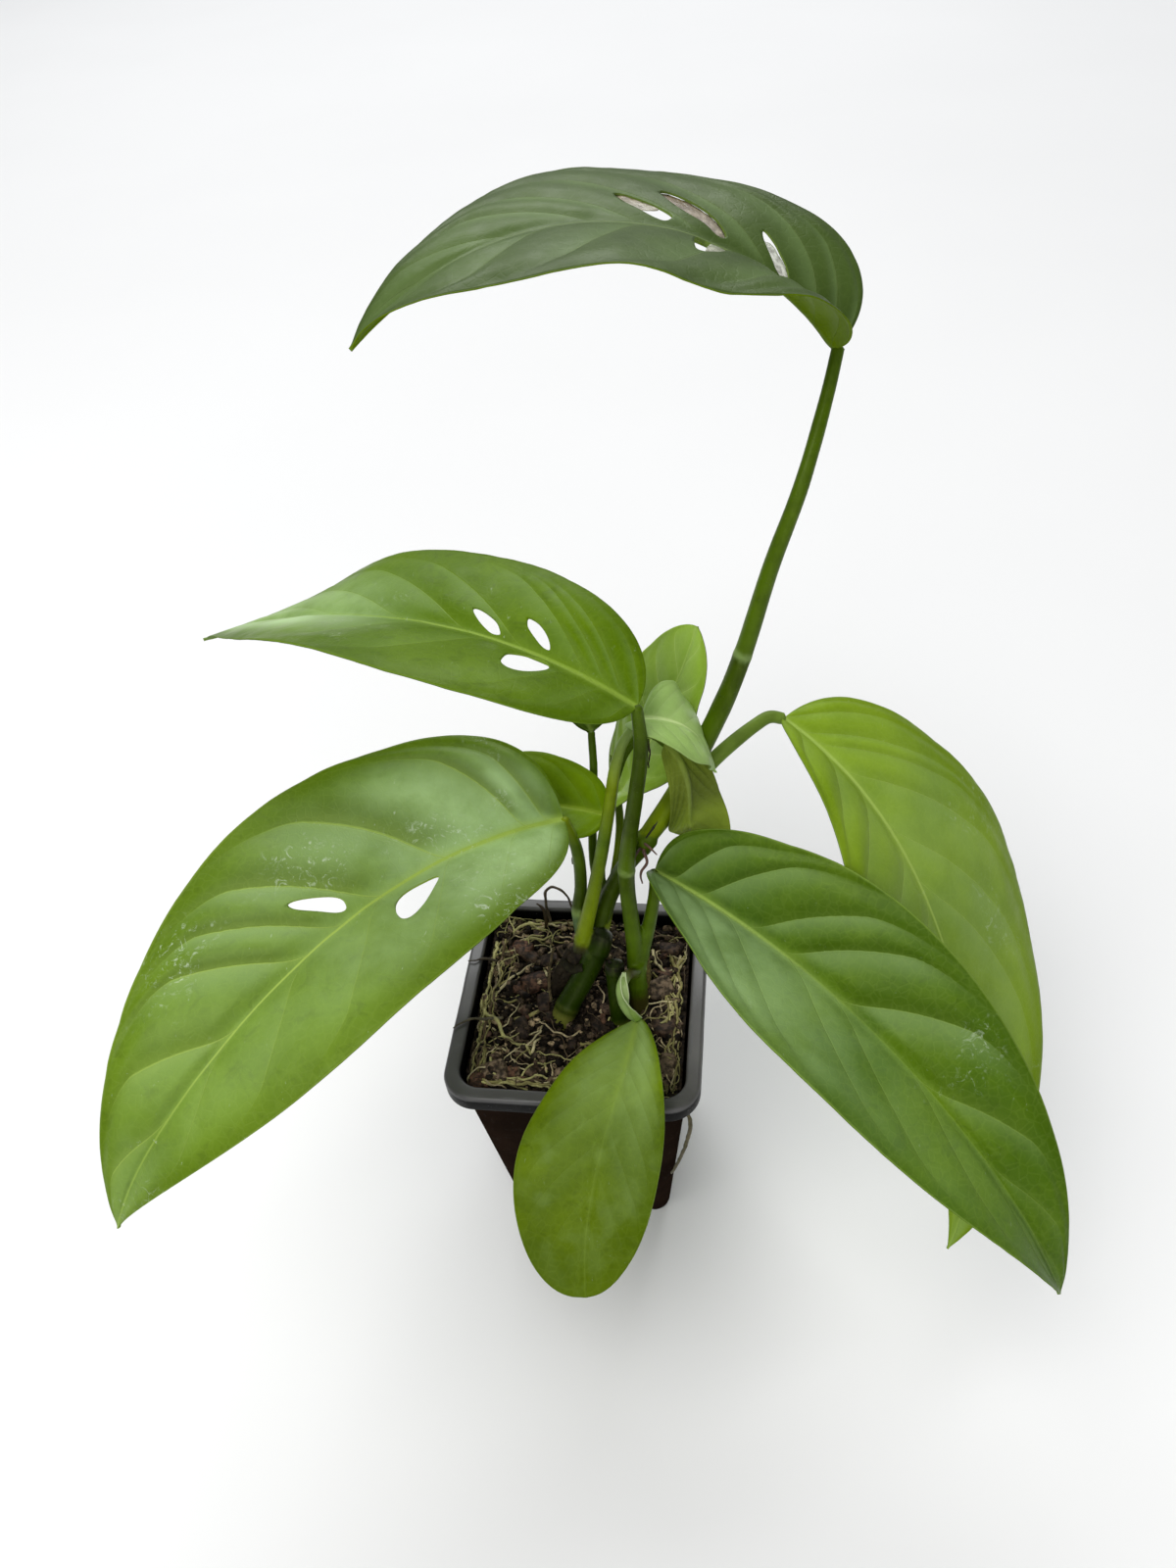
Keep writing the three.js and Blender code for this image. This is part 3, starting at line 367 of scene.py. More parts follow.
# Dry sheaths and scraps at the crown: (x, y, z, half width), wrap in degrees, turn, colour
SHEATHS = [
    dict(route=[(-8.6, 0.5, 78, 1.2), (-7.4, 2.2, 84.5, 1.9), (-5, 3.6, 90, 1.8), (-3.2, 5, 95, 0.5)],
         cup=80, rolls=(30, 20, 10), colour=OLD_BROWN),
    dict(route=[(-8.8, -2, 79, 0.35), (-9.2, 3, 86, 0.4), (-7.8, 7.6, 92, 0.35)],
         cup=30, rolls=(30, 60), colour=(0.13, 0.10, 0.05)),
    dict(route=[(-4.5, 3, 92, 1.4), (-2, 1.6, 91.2, 1.8), (1, 1, 92.4, 1.3)],
         cup=60, rolls=(0, 20), colour=(0.02, 0.018, 0.008)),
    dict(route=[(0, 13.8, 84, 0.9), (2.5, 14.8, 87.2, 1.4), (4.8, 16.1, 89.4, 1.3), (7.5, 17.5, 88, 0.6)],
         cup=80, rolls=(0, 90), colour=(0.13, 0.095, 0.06)),
    dict(route=[(0.3, 18, 86, 0.7), (1.5, 20, 90, 1.2), (4.6, 20.2, 91.5, 1.1), (8, 19.5, 88.5, 0.5)],
         cup=70, rolls=(0, 120), colour=(0.17, 0.125, 0.08)),
    dict(route=[(4, 10.4, 86, 0.6), (6.4, 12.5, 90.6, 1.2), (9.5, 13, 92, 1.0), (11.5, 11.5, 89, 0.5)],
         cup=80, rolls=(20, 140), colour=(0.11, 0.085, 0.055)),
    dict(route=[(8.4, 8.4, 86, 0.8), (10.4, 9.5, 88.5, 1.3), (12.2, 8.2, 90, 0.7)],
         cup=60, rolls=(0, 60), colour=(0.20, 0.15, 0.10)),
    dict(route=[(21.5, 11.4, 169.5, 0.12), (21.6, 11.2, 166, 0.45), (20.9, 11.6, 160, 0.2)],
         cup=60, rolls=(0, 0), colour=(0.035, 0.028, 0.012)),
    dict(route=[(19, 0.6, 84, 0.7), (19.4, 1.6, 89, 1.2), (19, 4.5, 95, 0.3)],
         cup=70, rolls=(90, 60), colour=(0.10, 0.08, 0.02)),
    dict(route=[(11.2, 19.8, 145.2, 0.9), (10.9, 20.2, 150, 0.7), (10.5, 21, 155.3, 0.15)],
         cup=60, rolls=(0, 0), colour=(0.10, 0.15, 0.01)),
    dict(route=[(-1.4, 20, 114, 0.9), (-1.2, 21.2, 119, 0.8), (-1.4, 22, 124, 0.15)],
         cup=60, rolls=(0, 0), colour=(0.07, 0.11, 0.01)),
]
# Old brown node that carries the centre leaf's petiole
OLD_NODE = [(0.3, 6.2, 95.0, 1.9), (-0.7, 5.5, 92.4, 2.7), (-2.6, 4.8, 88.5, 2.8), (-4.8, 4.1, 83.5, 2.7),
            (-7, 3.2, 77, 2.4)]
# Roots off the mix: (x, y, z, radius) and colour
AIR_ROOTS = [
    dict(route=[(18.4, 14.2, 129, 0.5), (19, 12.1, 127.7, 0.45), (19.6, 10.4, 126.6, 0.4),
                (18.1, 8.6, 124.5, 0.35), (18.4, 7.4, 121.6, 0.2)], colour=(0.085, 0.035, 0.02)),
    dict(route=[(18.8, 14, 130, 0.4), (20.6, 11.9, 130.6, 0.35), (22.3, 10.4, 129.8, 0.2)],
         colour=(0.14, 0.07, 0.045)),
    dict(route=[(17.9, 13.6, 128.8, 0.4), (16.8, 11.6, 128.3, 0.35), (16.2, 10.6, 126.5, 0.2)],
         colour=(0.06, 0.03, 0.018)),
    dict(route=[(18.4, 14.7, 129.5, 0.28), (21.1, 16, 134, 0.34), (24.5, 17.9, 139.6, 0.2)],
         colour=(0.02, 0.02, 0.008)),
    dict(route=[(-12.6, 27.5, 76, 0.5), (-14.3, 31.2, 82.4, 0.45), (-14.1, 32.6, 86.5, 0.45),
                (-12.2, 33, 88, 0.42), (-9.2, 32.5, 87, 0.4), (-7.3, 31.7, 84.4, 0.35), (-6, 30.4, 79, 0.3)],
         colour=(0.13, 0.095, 0.055)),
    dict(route=[(-14.6, 26.5, 75.5, 0.5), (-13.8, 26.2, 80, 0.55), (-14.6, 27.5, 84.5, 0.5),
                (-16.5, 28.4, 85.6, 0.25)], colour=(0.05, 0.03, 0.008)),
    dict(route=[(30.4, -29.8, 75.4, 0.5), (32.3, -31.6, 69, 0.6), (31.3, -33.3, 61.1, 0.55),
                (29.5, -34.4, 54.4, 0.5), (27.9, -35, 49, 0.45), (27, -34.8, 46, 0.35)],
         colour=(0.085, 0.07, 0.02)),
    dict(route=[(-22, -7.3, 77.6, 0.42), (-27, -8.6, 78.6, 0.42), (-30.4, -10.1, 80.4, 0.36),
                (-33, -11.9, 80.8, 0.3), (-34.8, -13.5, 80.7, 0.16)], colour=(0.10, 0.085, 0.045)),
    dict(route=[(-27, 12.6, 77.4, 0.4), (-30.6, 11.2, 80.2, 0.34), (-32.6, 9.9, 80.9, 0.26),
                (-34.7, 9.7, 80.7, 0.14)], colour=(0.07, 0.055, 0.035)),
]
# The rolled wing on the small front leaf's petiole
WING = [
    (13.4, -3.8, 97.4, 0.35), (13.3, -5.3, 96.4, 0.8), (13.6, -7.3, 95.1, 1.0), (14.1, -9.1, 93.2, 1.0),
    (14.8, -10.4, 91.1, 0.9), (16.1, -11.3, 88.7, 1.0), (17.5, -11.6, 86.3, 1.2),
]


# Geometry helpers

def unit(v):
    return v / np.linalg.norm(v, axis=-1, keepdims=True)


def smooth3(values, u):
    """Smooth value at u, from those at 0, 0.5 and 1."""
    a, b, c = values
    return a * (1 - u) * (1 - 2 * u) + b * 4 * u * (1 - u) + c * u * (2 * u - 1)


def step(low, high, x):
    """Smooth step from 0 at low to 1 at high."""
    t = np.clip((x - low) / (high - low), 0, 1)
    return t * t * (3 - 2 * t)


def spline(points, spacing):
    """Centres and radii along a centripetal curve through (x, y, z, radius) points, evenly spaced."""
    p = np.array(points, float)
    ends = [2 * p[0, :3] - p[1, :3], *p[:, :3], 2 * p[-1, :3] - p[-2, :3]]
    fine = []
    for i in range(len(p) - 1):
        p0, p1, p2, p3 = ends[i:i + 4]
        t0 = 0.0
        t1 = t0 + np.linalg.norm(p1 - p0) ** 0.5
        t2 = t1 + np.linalg.norm(p2 - p1) ** 0.5
        t3 = t2 + np.linalg.norm(p3 - p2) ** 0.5
        for w in np.linspace(0, 1, 24, endpoint=i == len(p) - 2):
            t = t1 + (t2 - t1) * w
            a1 = (t1 - t) / (t1 - t0) * p0 + (t - t0) / (t1 - t0) * p1
            a2 = (t2 - t) / (t2 - t1) * p1 + (t - t1) / (t2 - t1) * p2
            a3 = (t3 - t) / (t3 - t2) * p2 + (t - t2) / (t3 - t2) * p3
            b1 = (t2 - t) / (t2 - t0) * a1 + (t - t0) / (t2 - t0) * a2
            b2 = (t3 - t) / (t3 - t1) * a2 + (t - t1) / (t3 - t1) * a3
            place = (t2 - t) / (t2 - t1) * b1 + (t - t1) / (t2 - t1) * b2
            fine.append((*place, p[i, 3] + (p[i + 1, 3] - p[i, 3]) * w))
    fine = np.array(fine)
    gone = np.concatenate([[0], np.cumsum(np.linalg.norm(np.diff(fine[:, :3], axis=0), axis=1))])
    count = max(3, int(round(gone[-1] / spacing)) + 1)
    at = np.linspace(0, gone[-1], count)
    return np.stack([np.interp(at, gone, fine[:, i]) for i in range(4)], axis=1)


def carried_frames(centres):
    """Side and up directions carried along a line without twisting."""
    ahead = unit(np.gradient(centres, axis=0))
    side = np.cross(ahead[0], (0, 0, 1))
    if np.linalg.norm(side) < 0.2:
        side = np.cross(ahead[0], (1, 0, 0))
    sides = []
    for direction in ahead:
        side = unit(side - direction * np.dot(side, direction))
        sides.append(side)
    sides = np.array(sides)
    return sides, np.cross(ahead, sides)


def tube(line, sides):
    """Closed tube with short pointed ends along (x, y, z, radius) rows."""
    centres, radii = line[:, :3], line[:, 3]
    side, up = carried_frames(centres)
    turn = np.linspace(0, 2 * np.pi, sides, endpoint=False)
    rings = (centres[:, None] + side[:, None] * (np.cos(turn)[None, :, None] * radii[:, None, None])
             + up[:, None] * (np.sin(turn)[None, :, None] * radii[:, None, None]))
    ahead = unit(np.gradient(centres, axis=0))
    tail = centres[0] - ahead[0] * radii[0] * 0.5
    nose = centres[-1] + ahead[-1] * radii[-1] * 0.5
    verts = np.concatenate([rings.reshape(-1, 3), [tail, nose]])
    faces = []
    rows = len(line)
    for r in range(rows - 1):
        for i in range(sides):
            j = (i + 1) % sides
            faces.append((r * sides + i, (r + 1) * sides + i, (r + 1) * sides + j, r * sides + j))
    for i in range(sides):
        j = (i + 1) % sides
        faces.append((rows * sides, i, j))
        faces.append((rows * sides + 1, (rows - 1) * sides + j, (rows - 1) * sides + i))
    return verts, faces


def ribbon(line, thickness, cup, columns, rolls):
    """Closed strip along (x, y, z, half width) rows. cup: how far it wraps, in degrees; rolls turn it."""
    centres, halves = line[:, :3], line[:, 3]
    side, up = carried_frames(centres)
    roll = np.radians(np.interp(np.linspace(0, 1, len(line)), np.linspace(0, 1, len(rolls)), rolls))
    side, up = (side * np.cos(roll)[:, None] + up * np.sin(roll)[:, None],
                up * np.cos(roll)[:, None] - side * np.sin(roll)[:, None])
    k = np.linspace(-1, 1, columns + 1)
    bend = math.radians(cup)
    reach = np.sin(k * bend) / bend
    lift = (1 - np.cos(k * bend)) / bend
    top = (centres[:, None] + side[:, None] * (reach[None, :, None] * halves[:, None, None])
           + up[:, None] * (lift[None, :, None] * halves[:, None, None]))
    normal = up[:, None] * np.cos(k * bend)[None, :, None] - side[:, None] * np.sin(k * bend)[None, :, None]
    low = top - normal * thickness
    rows, wide = top.shape[:2]
    verts = np.concatenate([top.reshape(-1, 3), low.reshape(-1, 3)])
    shift = rows * wide
    faces = []
    for r in range(rows - 1):
        for c in range(wide - 1):
            a, b, d, e = r * wide + c, r * wide + c + 1, (r + 1) * wide + c + 1, (r + 1) * wide + c
            faces.append((a, b, d, e))
            faces.append((shift + a, shift + e, shift + d, shift + b))
        for c in (0, wide - 1):
            a, e = r * wide + c, (r + 1) * wide + c
            face = (a, e, shift + e, shift + a)
            faces.append(face if c == 0 else face[::-1])
    for c in range(wide - 1):
        a, b = c, c + 1
        faces.append((a, shift + a, shift + b, b))
        a, b = (rows - 1) * wide + c, (rows - 1) * wide + c + 1
        faces.append((a, b, shift + b, shift + a))
    return verts, faces


def merge(parts):
    """One list of vertices and faces from several."""
    verts, faces, start = [], [], 0
    for v, f in parts:
        verts.append(np.asarray(v, float))
        faces.extend([tuple(i + start for i in face) for face in f])
        start += len(v)
    return np.concatenate(verts), faces


def linked(name, data):
    """New object in the scene."""
    thing = bpy.data.objects.new(name, data)
    bpy.context.scene.collection.objects.link(thing)
    return thing


def add_object(name, verts, faces, materials, paint=None):
    mesh = bpy.data.meshes.new(name)
    mesh.from_pydata((np.asarray(verts) * MM).tolist(), [], faces)
    mesh.update()
    for material in materials:
        mesh.materials.append(material)
    mesh.shade_smooth()
    if paint is not None:
        set_paint(mesh, paint)
    thing = linked(name, mesh)
    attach(thing, "root")
    return thing


def add_parts(name, parts, colours, material):
    """One painted object from several parts."""
    verts, faces = merge(parts)
    return add_object(name, verts, faces, [material], np.clip(np.concatenate(colours), 0, 1))


def set_paint(mesh, paint):
    layer = mesh.color_attributes.new(name="paint", type="FLOAT_COLOR", domain="POINT")
    rgba = np.ones((len(mesh.vertices), 4), np.float32)
    rgba[:, :3] = paint
    layer.data.foreach_set("color", rgba.ravel())


def bake_modifiers(thing):
    """Applies an object's modifiers to its mesh."""
    bpy.context.view_layer.update()
    graph = bpy.context.evaluated_depsgraph_get()
    mesh = bpy.data.meshes.new_from_object(thing.evaluated_get(graph))
    old = thing.data
    thing.modifiers.clear()
    thing.data = mesh
    mesh.name = thing.name
    bpy.data.meshes.remove(old)


def face_outwards(mesh):
    work = bmesh.new()
    work.from_mesh(mesh)
    bmesh.ops.recalc_face_normals(work, faces=work.faces)
    work.to_mesh(mesh)
    work.free()


def wobble(points, scale, seed):
    """Smooth noise, about -1 to 1, at points in millimetres."""
    shift = Vector((seed * 7.3, seed * 3.1, seed * 11.7))
    return np.array([noise.noise(Vector(p) * scale + shift) for p in points])


def wobble3(points, scale, seed):
    """Three such noises, as a shift in x, y and z."""
    return np.stack([wobble(points, scale, seed + axis) for axis in range(3)], 1)


# Materials

class Shader:
    """A node material with a Principled shader."""

    def __init__(self, name, roughness, specular):
        self.material = bpy.data.materials.new(name)
        self.material.use_nodes = True
        self.tree = self.material.node_tree
        self.tree.nodes.clear()
        out = self.tree.nodes.new("ShaderNodeOutputMaterial")
        self.bsdf = self.tree.nodes.new("ShaderNodeBsdfPrincipled")
        self.tree.links.new(self.bsdf.outputs[0], out.inputs[0])
        self.bsdf.inputs["Roughness"].default_value = roughness
        self.bsdf.inputs["Specular IOR Level"].default_value = specular
        self.place = self.tree.nodes.new("ShaderNodeTexCoord").outputs["Object"]

    def put(self, socket, value):
        if isinstance(value, bpy.types.NodeSocket):
            self.tree.links.new(value, socket)
        else:
            socket.default_value = (*value, 1) if isinstance(value, tuple) and len(value) == 3 else value

    def set(self, name, value):
        self.put(self.bsdf.inputs[name], value)

    def math(self, kind, a, b=0.0, clamp=False):
        node = self.tree.nodes.new("ShaderNodeMath")
        node.operation = kind
        node.use_clamp = clamp
        for socket, value in zip(node.inputs, (a, b)):
            self.put(socket, value)
        return node.outputs[0]

    def times(self, a, b):
        return self.math("MULTIPLY", a, b)

    def ramp(self, value, low, high, to_low=0.0, to_high=1.0):
        node = self.tree.nodes.new("ShaderNodeMapRange")
        node.interpolation_type = "SMOOTHSTEP"
        for socket, item in zip(node.inputs, (value, low, high, to_low, to_high)):
            self.put(socket, item)
        return node.outputs[0]

    def mix(self, share, a, b):
        node = self.tree.nodes.new("ShaderNodeMix")
        node.data_type = "RGBA"
        self.put(node.inputs[0], share)
        self.put(node.inputs[6], a)
        self.put(node.inputs[7], b)
        return node.outputs[2]

    def over(self, colour, tint, share, *more):
        """Lays a tint over a colour, by the product of the shares."""
        for factor in more:
            share = self.times(share, factor)
        return self.mix(share, colour, tint)

    def noise(self, scale, detail=3.0, rough=0.55, stretch=None, distortion=0.0):
        node = self.tree.nodes.new("ShaderNodeTexNoise")
        node.inputs["Scale"].default_value = scale
        node.inputs["Detail"].default_value = detail
        node.inputs["Roughness"].default_value = rough
        node.inputs["Distortion"].default_value = distortion
        self.tree.links.new(self.stretched(stretch), node.inputs["Vector"])
        return node.outputs[0]

    def cells(self, scale, feature="DISTANCE_TO_EDGE", stretch=None):
        node = self.tree.nodes.new("ShaderNodeTexVoronoi")
        node.feature = feature
        node.inputs["Scale"].default_value = scale
        self.tree.links.new(self.stretched(stretch), node.inputs["Vector"])
        return node.outputs["Distance"]

    def stretched(self, stretch):
        if stretch is None:
            return self.place
        node = self.tree.nodes.new("ShaderNodeMapping")
        node.inputs["Scale"].default_value = stretch
        self.tree.links.new(self.place, node.inputs["Vector"])
        return node.outputs[0]

    def map_axes(self, name):
        node = self.tree.nodes.new("ShaderNodeUVMap")
        node.uv_map = name
        split = self.tree.nodes.new("ShaderNodeSeparateXYZ")
        self.tree.links.new(node.outputs[0], split.inputs[0])
        return split.outputs[0], split.outputs[1]

    def paint(self):
        node = self.tree.nodes.new("ShaderNodeAttribute")
        node.attribute_name = "paint"
        return node.outputs["Color"]

    def bump(self, height, distance, strength):
        node = self.tree.nodes.new("ShaderNodeBump")
        node.inputs["Strength"].default_value = strength
        node.inputs["Distance"].default_value = distance
        self.tree.links.new(height, node.inputs["Height"])
        self.tree.links.new(node.outputs[0], self.bsdf.inputs["Normal"])


def leaf_marks(shader):
    """Masks of the rib, the side veins and the small net of veins between them."""
    vein, across = shader.map_axes("vein")
    along, off_rib = shader.map_axes("span")
    off_rib = shader.math("ABSOLUTE", off_rib)
    near = shader.math("ABSOLUTE", shader.math("SUBTRACT", vein, shader.math("ROUND", vein)))
    fade = shader.ramp(across, 0.6, 0.98, 1.0, 0.0)
    side = shader.times(shader.ramp(near, 0.004, 0.022, 1.0, 0.0), fade)
    halo = shader.times(shader.ramp(near, 0.0, 0.2, 1.0, 0.0), fade)
    wide = shader.ramp(along, 0.0, 0.75, 0.020, 0.006)
    rib = shader.ramp(shader.math("DIVIDE", off_rib, wide), 0.45, 1.3, 1.0, 0.0)
    net = shader.ramp(shader.cells(420.0), 0.0, 0.12, 1.0, 0.0)
    return side, halo, rib, net, along, across, off_rib


def by_side(shader, values):
    """One value on the left half of the blade and another on the right."""
    _, side = shader.map_axes("span")
    return shader.ramp(side, -0.01, 0.01, values[1], values[0])


def panels(shader, leaf):
    """Masks of the painted highlight at the start and the painted shade at the end of each panel between two
    side veins.
    """
    vein, across = shader.map_axes("vein")
    along, _ = shader.map_axes("span")
    part = shader.math("FRACT", vein)
    amount = shader.times(by_side(shader, leaf["shade"]), shader.ramp(along, 0.6, 0.9, 1.0, 0.2))
    amount = shader.times(amount, shader.ramp(across, 0.02, 0.2))
    amount = shader.times(amount, shader.ramp(across, 0.68, 0.95, 1.0, 0.1))
    start = shader.times(shader.ramp(part, 0.0, 0.55, 1.0, 0.0), amount)
    end = shader.times(shader.ramp(part, 0.4, 0.97, 0.0, 1.0), amount)
    return start, end


def leaf_material(name, leaf):
    deep, bright, pale, _ = GREENS[leaf["greens"]]
    shader = Shader(name, 0.42, leaf["gloss"])
    shader.set("Specular Tint", (0.85, 1.0, 0.6))
    side, halo, rib, net, along, across, off_rib = leaf_marks(shader)
    cloud = shader.noise(38.0, 3.0)
    grain = shader.noise(900.0, 2.0)
    share = shader.math("ADD", shader.ramp(cloud, 0.35, 0.68, 0.0, 0.9),
                        shader.ramp(grain, 0.3, 0.7, -0.08, 0.08), clamp=True)
    colour = shader.mix(share, deep, bright)
    if leaf["greens"] in ("small", "bright", "deep", "sheen"):
        blots = shader.ramp(shader.noise(230.0, 4.0, 0.65, None, 0.8), 0.5, 0.72, 0.0, 0.4)
        colour = shader.mix(blots, colour, tuple(0.6 * c for c in deep))
    # Painted sheen: a pale tint laid over the blade for the light's reflection on its waxy skin, in patches,
    # fading towards the margin
    amount, start, end = leaf["painted_sheen"]
    margin = (0.75, 1.0, 0.35) if leaf["greens"] == "deep" else (0.45, 0.97, 0.0)
    painted_sheen = shader.times(shader.ramp(along, start, end),
                        shader.ramp(across, margin[0], margin[1], 1.0, margin[2]))
    if leaf["greens"] in ("sheen", "deep"):
        painted_sheen = shader.times(painted_sheen, shader.ramp(along, 0.12, 0.7, 1.0, 0.15))
    patchy = shader.ramp(shader.noise(70.0, 4.0, 0.6), 0.3, 0.65, 0.55, 1.0)
    painted_sheen = shader.times(painted_sheen, patchy)
    painted_sheen = shader.times(painted_sheen, by_side(shader, leaf["sides"]))
    sheen_tint = PAINTED_SHEENS.get(leaf["greens"], PAINTED_SHEEN)
    colour = shader.over(colour, sheen_tint, painted_sheen, amount)
    if leaf["greens"] == "small":
        cells = shader.ramp(shader.noise(120.0, 3.0, 0.5, None, 0.3), 0.46, 0.66, 0.0, 0.26)
        colour = shader.over(colour, sheen_tint, cells, shader.ramp(across, 0.6, 0.95, 1.0, 0.3))
    # Painted light and shade between the side veins: a painted highlight in the sheen tint just past each
    # vein, painted shade before the next
    start, end = panels(shader, leaf)
    colour = shader.over(colour, PAINTED_SHEEN, start, 0.45)
    rich = tuple(0.62 * c for c in deep)
    colour = shader.over(colour, rich, end, 0.75)
    rim = shader.times(shader.ramp(across, 0.7, 0.97), 0.35)
    if leaf["greens"] == "deep":
        rim = shader.times(rim, by_side(shader, (1.0, 0.1)))
    if leaf["greens"] == "small":
        rim = shader.ramp(along, 0.45, 1.0, 0.0, 0.6)
    colour = shader.mix(rim, colour, rich)
    colour = shader.over(colour, pale, net, 0.05)
    lines = by_side(shader, leaf["lines"])
    colour = shader.over(colour, pale, halo, 0.3, lines)
    colour = shader.over(colour, pale, side, lines)
    glow = shader.ramp(off_rib, 0.0, 0.07, 0.6 if leaf["greens"] in ("small", "sheen") else 0.25, 0.0)
    colour = shader.over(colour, pale, glow, shader.ramp(along, 0.1, 0.7, 1.0, 0.0))
    top, start, end, last = RIB_FADES.get(leaf["greens"], (0.85, 0.35, 0.95, 0.25))
    strength = shader.ramp(along, start, end, top, last)
    colour = shader.over(colour, pale, rib, strength)
    edge = shader.ramp(across, 0.98, 1.0)
    colour = shader.over(colour, pale, edge, 0.35)
    specks = leaf["specks"]
    if specks > 0:
        spots = shader.ramp(shader.cells(340.0, "F1", (1.0, 0.7, 1.0)), 0.05, 0.2, 1.0, 0.0)
        spots = shader.times(spots, shader.ramp(shader.noise(800.0, 3.0, 0.7), 0.42, 0.56))
        where = shader.ramp(shader.noise(33.0, 4.0), 0.6 - 0.07 * specks, 0.74 - 0.03 * specks)
        smear = shader.ramp(shader.noise(300.0, 6.0, 0.8, None, 1.6), 0.54, 0.66)
        thin = shader.ramp(shader.noise(900.0, 3.0, 0.6, (1.0, 0.25, 1.0)), 0.68, 0.76)
        dust = shader.times(shader.math("MAXIMUM", spots, smear), where)
        thin = shader.times(thin, shader.ramp(shader.noise(60.0, 2.0), 0.45, 0.6))
        dust = shader.math("MAXIMUM", dust, shader.times(thin, 0.5))
        amount = shader.times(dust, min(0.75, 0.3 + 0.25 * specks))
        colour = shader.mix(amount, colour, (0.62, 0.72, 0.55))
    shader.set("Base Color", colour)
    shader.set("Roughness", shader.ramp(shader.noise(140.0, 4.0), 0.3, 0.7, 0.35, 0.5))
    height = shader.math("ADD", shader.times(net, -0.15), shader.times(grain, 0.3))
    height = shader.math("ADD", height, shader.times(side, -0.6))
    shader.bump(height, 0.0002, 0.6)
    return shader.material


def under_material(name, leaf):
    _, _, pale, under = GREENS[leaf["greens"]]
    shader = Shader(name, 0.6, 0.05)
    side, _, rib, net, along, _, _ = leaf_marks(shader)
    cloud = shader.ramp(shader.noise(60.0, 3.0), 0.3, 0.7)
    darker = tuple(0.75 * c for c in under)
    colour = shader.mix(cloud, darker, under)
    colour = shader.over(colour, pale, net, 0.1)
    # Painted light and shade between the side veins, on the underside too
    start, end = panels(shader, leaf)
    colour = shader.over(colour, pale, start, 0.3)
    colour = shader.over(colour, tuple(0.5 * c for c in under), end, 0.5)
    colour = shader.over(colour, pale, side, 0.3)
    colour = shader.over(colour, pale, rib, 0.4)
    # Painted light: the hanging leaf's underside is painted lighter towards its tip and near its base, where
    # shade falls on it
    if leaf["greens"] == "olive":
        tip = shader.math("MAXIMUM", shader.ramp(along, 0.4, 0.75), shader.ramp(along, 0.1, 0.35, 0.35, 0.0))
        colour = shader.mix(tip, colour, tuple(2.6 * c for c in under))
    shader.set("Base Color", colour)
    height = shader.math("ADD", shader.times(net, 0.3), shader.times(side, 0.7))
    shader.bump(height, 0.0002, 0.7)
    return shader.material


def stem_material():
    shader = Shader("stem_skin", 0.38, 0.2)
    shader.set("Specular Tint", (0.9, 1.0, 0.5))
    cloud = shader.noise(160.0, 4.0)
    fleck = shader.ramp(shader.cells(900.0, "F1"), 0.06, 0.2, 1.0, 0.0)
    streak = shader.noise(500.0, 3.0, 0.6, (1.0, 1.0, 0.15))
    paint = shader.paint()
    dark = shader.mix(0.55, paint, (0.0, 0.0, 0.0))
    colour = shader.mix(shader.ramp(cloud, 0.35, 0.7, 0.0, 0.5), paint, dark)
    colour = shader.mix(shader.ramp(streak, 0.5, 0.75, 0.0, 0.12), colour, (0.14, 0.20, 0.02))
    colour = shader.over(colour, (0.26, 0.32, 0.10), fleck, 0.08)
    shader.set("Base Color", colour)
    shader.set("Roughness", shader.ramp(cloud, 0.3, 0.7, 0.32, 0.5))
    shader.bump(shader.math("ADD", shader.times(streak, 0.6), fleck), 0.00012, 0.7)
    return shader.material


def painted_material(name, rough, grain_scale, grain, distance, dark=(0.008, 0.006, 0.004), gloss=0.4):
    """Material that takes its colour from the mesh, with grain of its own."""
    shader = Shader(name, rough, gloss)
    fine = shader.noise(grain_scale, 5.0, 0.65)
    colour = shader.mix(shader.ramp(fine, 0.4, 0.62, grain, 0.0), shader.paint(), dark)
    shader.set("Base Color", colour)
    cloud = shader.noise(grain_scale * 0.4, 3.0)
    shader.set("Roughness", shader.ramp(cloud, 0.35, 0.65, rough - 0.15, rough + 0.12))
    shader.bump(fine, distance, 0.9)
    return shader.material


